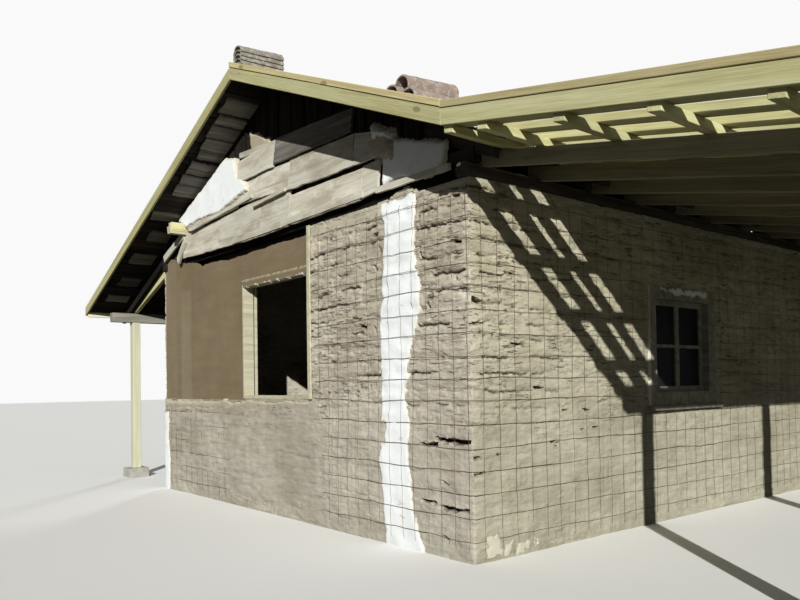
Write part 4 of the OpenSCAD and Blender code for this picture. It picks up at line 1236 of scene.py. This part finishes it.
# end of an old purlin through the front gable: lowest and highest corner
STUB = ((-4.465, -0.20, 2.845), (-4.385, 0.05, 2.92))


def strip(builder, x0, z0, x1, z1, width, y, thick, seed, jag):
    """A straight narrow board on the gable between two points of its middle line."""
    half = width / 2 / math.hypot(x1 - x0, z1 - z0)
    dx, dz = (z0 - z1) * half, (x1 - x0) * half
    quad = [at(x0 - dx, y, z0 - dz), at(x1 - dx, y, z1 - dz),
            at(x1 + dx, y, z1 + dz), at(x0 + dx, y, z0 + dz)]
    plate(builder, quad, (0, thick, 0), seed, 0.025, jag, 0.003)


def build_gable_boards():
    """Lapped boards of both gables, and the laths and broken boards of the front one."""
    builder = Builder()
    jag = (0.008, 0.004, 0.006, 0.006)
    for mirror in (False, True):
        for k, (x0, x1, low0, low1, high0, high1) in enumerate(BOARD_ROWS):
            quad = [at(x0, BOARD_LOW, low0), at(x1, BOARD_LOW, low1),
                    at(x1, BOARD_HIGH, high1), at(x0, BOARD_HIGH, high0)]
            # the highest board on the right takes the darker colour of the verge boards
            mat = 2 if k == len(BOARD_ROWS) - 1 else 0
            plate(builder, quad, (0, BOARD_THICK, 0), k + 1 + 40 * mirror, fine(0.02, 0.06), jag, 0.004,
                  mat=mat, mirror=mirror)
    for k, lath in enumerate(LATHS):
        strip(builder, *lath, 60 + k, (0.004, 0.003, 0.004, 0.004))
    for k, lath in enumerate(LOOSE):
        strip(builder, *lath, 70 + k, (0.004, 0.004, 0.02, 0.004))
    (x0, y0, z0), (x1, y1, z1) = STUB
    quad = [at(x1, y0, z0), at(x1, y1, z0), at(x1, y1, z1), at(x1, y0, z1)]
    plate(builder, quad, (x0 - x1, 0, 0), 75, 0.03, (0.003, 0.003, 0.012, 0), 0.002, mat=1)
    builder.place("lapped_boards", ["grey", "cream", "verge"], 30, "gable_boards")


def build_eave_boards():
    """Old short boards under the verge of the left slope, with split ends."""
    builder = Builder()
    bm = node_mesh("left_roof_boards", 0)
    for group in islands(bm):
        pos = np.array([v.co[:] for v in group])
        if pos[:, 1].mean() > CY:
            continue
        (x0, y0, _), (x1, y1, _) = pos.min(0), pos.max(0)
        k = int(round((x0 - CX) * -20))
        middle = (x0 + x1) / 2
        z0 = pos[pos[:, 0] < middle][:, 2].min()
        z1 = pos[pos[:, 0] > middle][:, 2].min()
        quad = [(x0, y1, z0), (x1, y1, z1), (x1, y0, z1), (x0, y0, z0)]
        plate(builder, quad, (0, 0, 0.02), k, fine(0.02, 0.05), (0, 0.022, 0.006, 0.006), 0.004, upright=True)
    bm.free()
    builder.place("left_verge_boards", ["verge"], 30, "left_roof_boards")


# Timber: node, axis it is cut across, stretch, material, warp and wear

TIMBER = [
    # timbers in the dark take materials with painted shade: old, dark, the black beams and the darkened porch
    # pine
    ("right_roof_boards", 1, 0.35, "old", 0.004, 0.003),
    ("right_rafters", 0, 0.3, "old", 0.004, 0.003),
    ("left_rafters", 0, 0.3, "painted_shade_black", 0.004, 0.003),
    ("tie_beams", 0, 0.5, "old", 0.004, 0.003),
    ("king_posts", 2, 0.4, "old", 0.003, 0.002),
    ("ridge_beam", 1, 0.5, "old", 0.004, 0.002),
    ("upright_gable_boards", 2, 0.12, "dark", 0.006, 0.005),
    ("left_wall_plate", 1, 0.5, "dark", 0.003, 0.002),
    ("gable_plates", 0, 0.4, "painted_shade_black", 0.003, 0.002),
    ("right_wall_pole", 1, 0.3, "old", 0.006, 0.0),
    ("left_barge_boards", 0, 0.3, "pine", 0.002, 0.0006),
    ("right_barge_boards", 0, 0.3, "pine", 0.002, 0.0006),
    ("right_barge_strips", 0, 0.3, "strip", 0.002, 0.0006),
    ("porch_barge_boards", 0, 0.3, "pine", 0.002, 0.0006),
    ("porch_barge_strips", 0, 0.3, "strip", 0.002, 0.0006),
    ("porch_rafters", 0, 0.4, "pine_shade_dark", 0.003, 0.001),
    ("porch_purlins", 1, 0.4, "pine", 0.003, 0.001),
    ("porch_planks", 0, 0.3, "pine", 0.003, 0.001),
    ("right_porch_beam", 1, 0.5, "pine_shade_dark", 0.002, 0.001),
    ("right_porch_posts", 2, 0.25, "pine_pale", 0.003, 0.001),
    ("left_porch_beam", 1, 0.5, "frame", 0.003, 0.002),
    ("left_porch_posts", 2, 0.25, "pine_pale", 0.003, 0.001),
    ("left_porch_rafters", 0, 0.2, "pine", 0.003, 0.001),
    ("left_purlin", 1, 0.4, "pine", 0.003, 0.001),
    ("left_eave_board", 1, 0.4, "pine_pale", 0.004, 0.002),
]


def build_timber():
    """Worn copies of the straight timbers; the old boards under the left verge are made on their own."""
    for k, (node, axis, stretch, mat, warp, wear) in enumerate(TIMBER):
        dress(node, mat, axis, stretch, warp, wear, k + 2, 0.0 if node == "right_wall_pole" else 0.003)
    # the boards over the rooms take the dark material, painted shade for their undersides
    dress("left_roof_boards", "dark", 1, 0.35, 0.004, 0.003, 1, 0.003, lambda middle: middle.y > CY)


# Fittings: node, material, length of the cuts, depth of the wear and its scale

FITTINGS = [
    ("packed_floor", "plaster", 0.3, 0.004, 0.3),
    ("gable_window_linings", "cream", 0.12, 0.0012, 0.05),
    ("side_window_linings", "frame", 0.12, 0.0012, 0.05),
    ("side_window_sashes", "frame", 0.15, 0.0008, 0.05),
    ("side_window_sills", "frame", 0.06, 0.0018, 0.04),
    ("doorway_lining", "cream", 0.15, 0.0012, 0.05),
    ("plaster_battens", "cream", 0.08, 0.002, 0.05),
    ("post_blocks", "stone", 0.04, 0.004, 0.04),
    ("ridge_tile_stack", "clay_grey", 0.03, 0.003, 0.03),
    ("slope_tile_pile", "clay", 0.03, 0.003, 0.03),
    ("loose_tiles", "clay", 0.03, 0.003, 0.03),
]


def build_fittings():
    """Worn copies of linings, sashes, sills, floor, blocks and tiles; the panes keep their shape."""
    for k, (node, mat, cut, amp, scale) in enumerate(FITTINGS):
        ease(node, mat, cut, amp, scale, k + 3)
    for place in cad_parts["side_window_panes"].material_slots:
        place.material = M["glass"]


build_camera()
build_light()
build_floor()
build_walls()
build_wires()
build_coats()
build_plaster()
build_gable_boards()
build_eave_boards()
build_timber()
build_fittings()
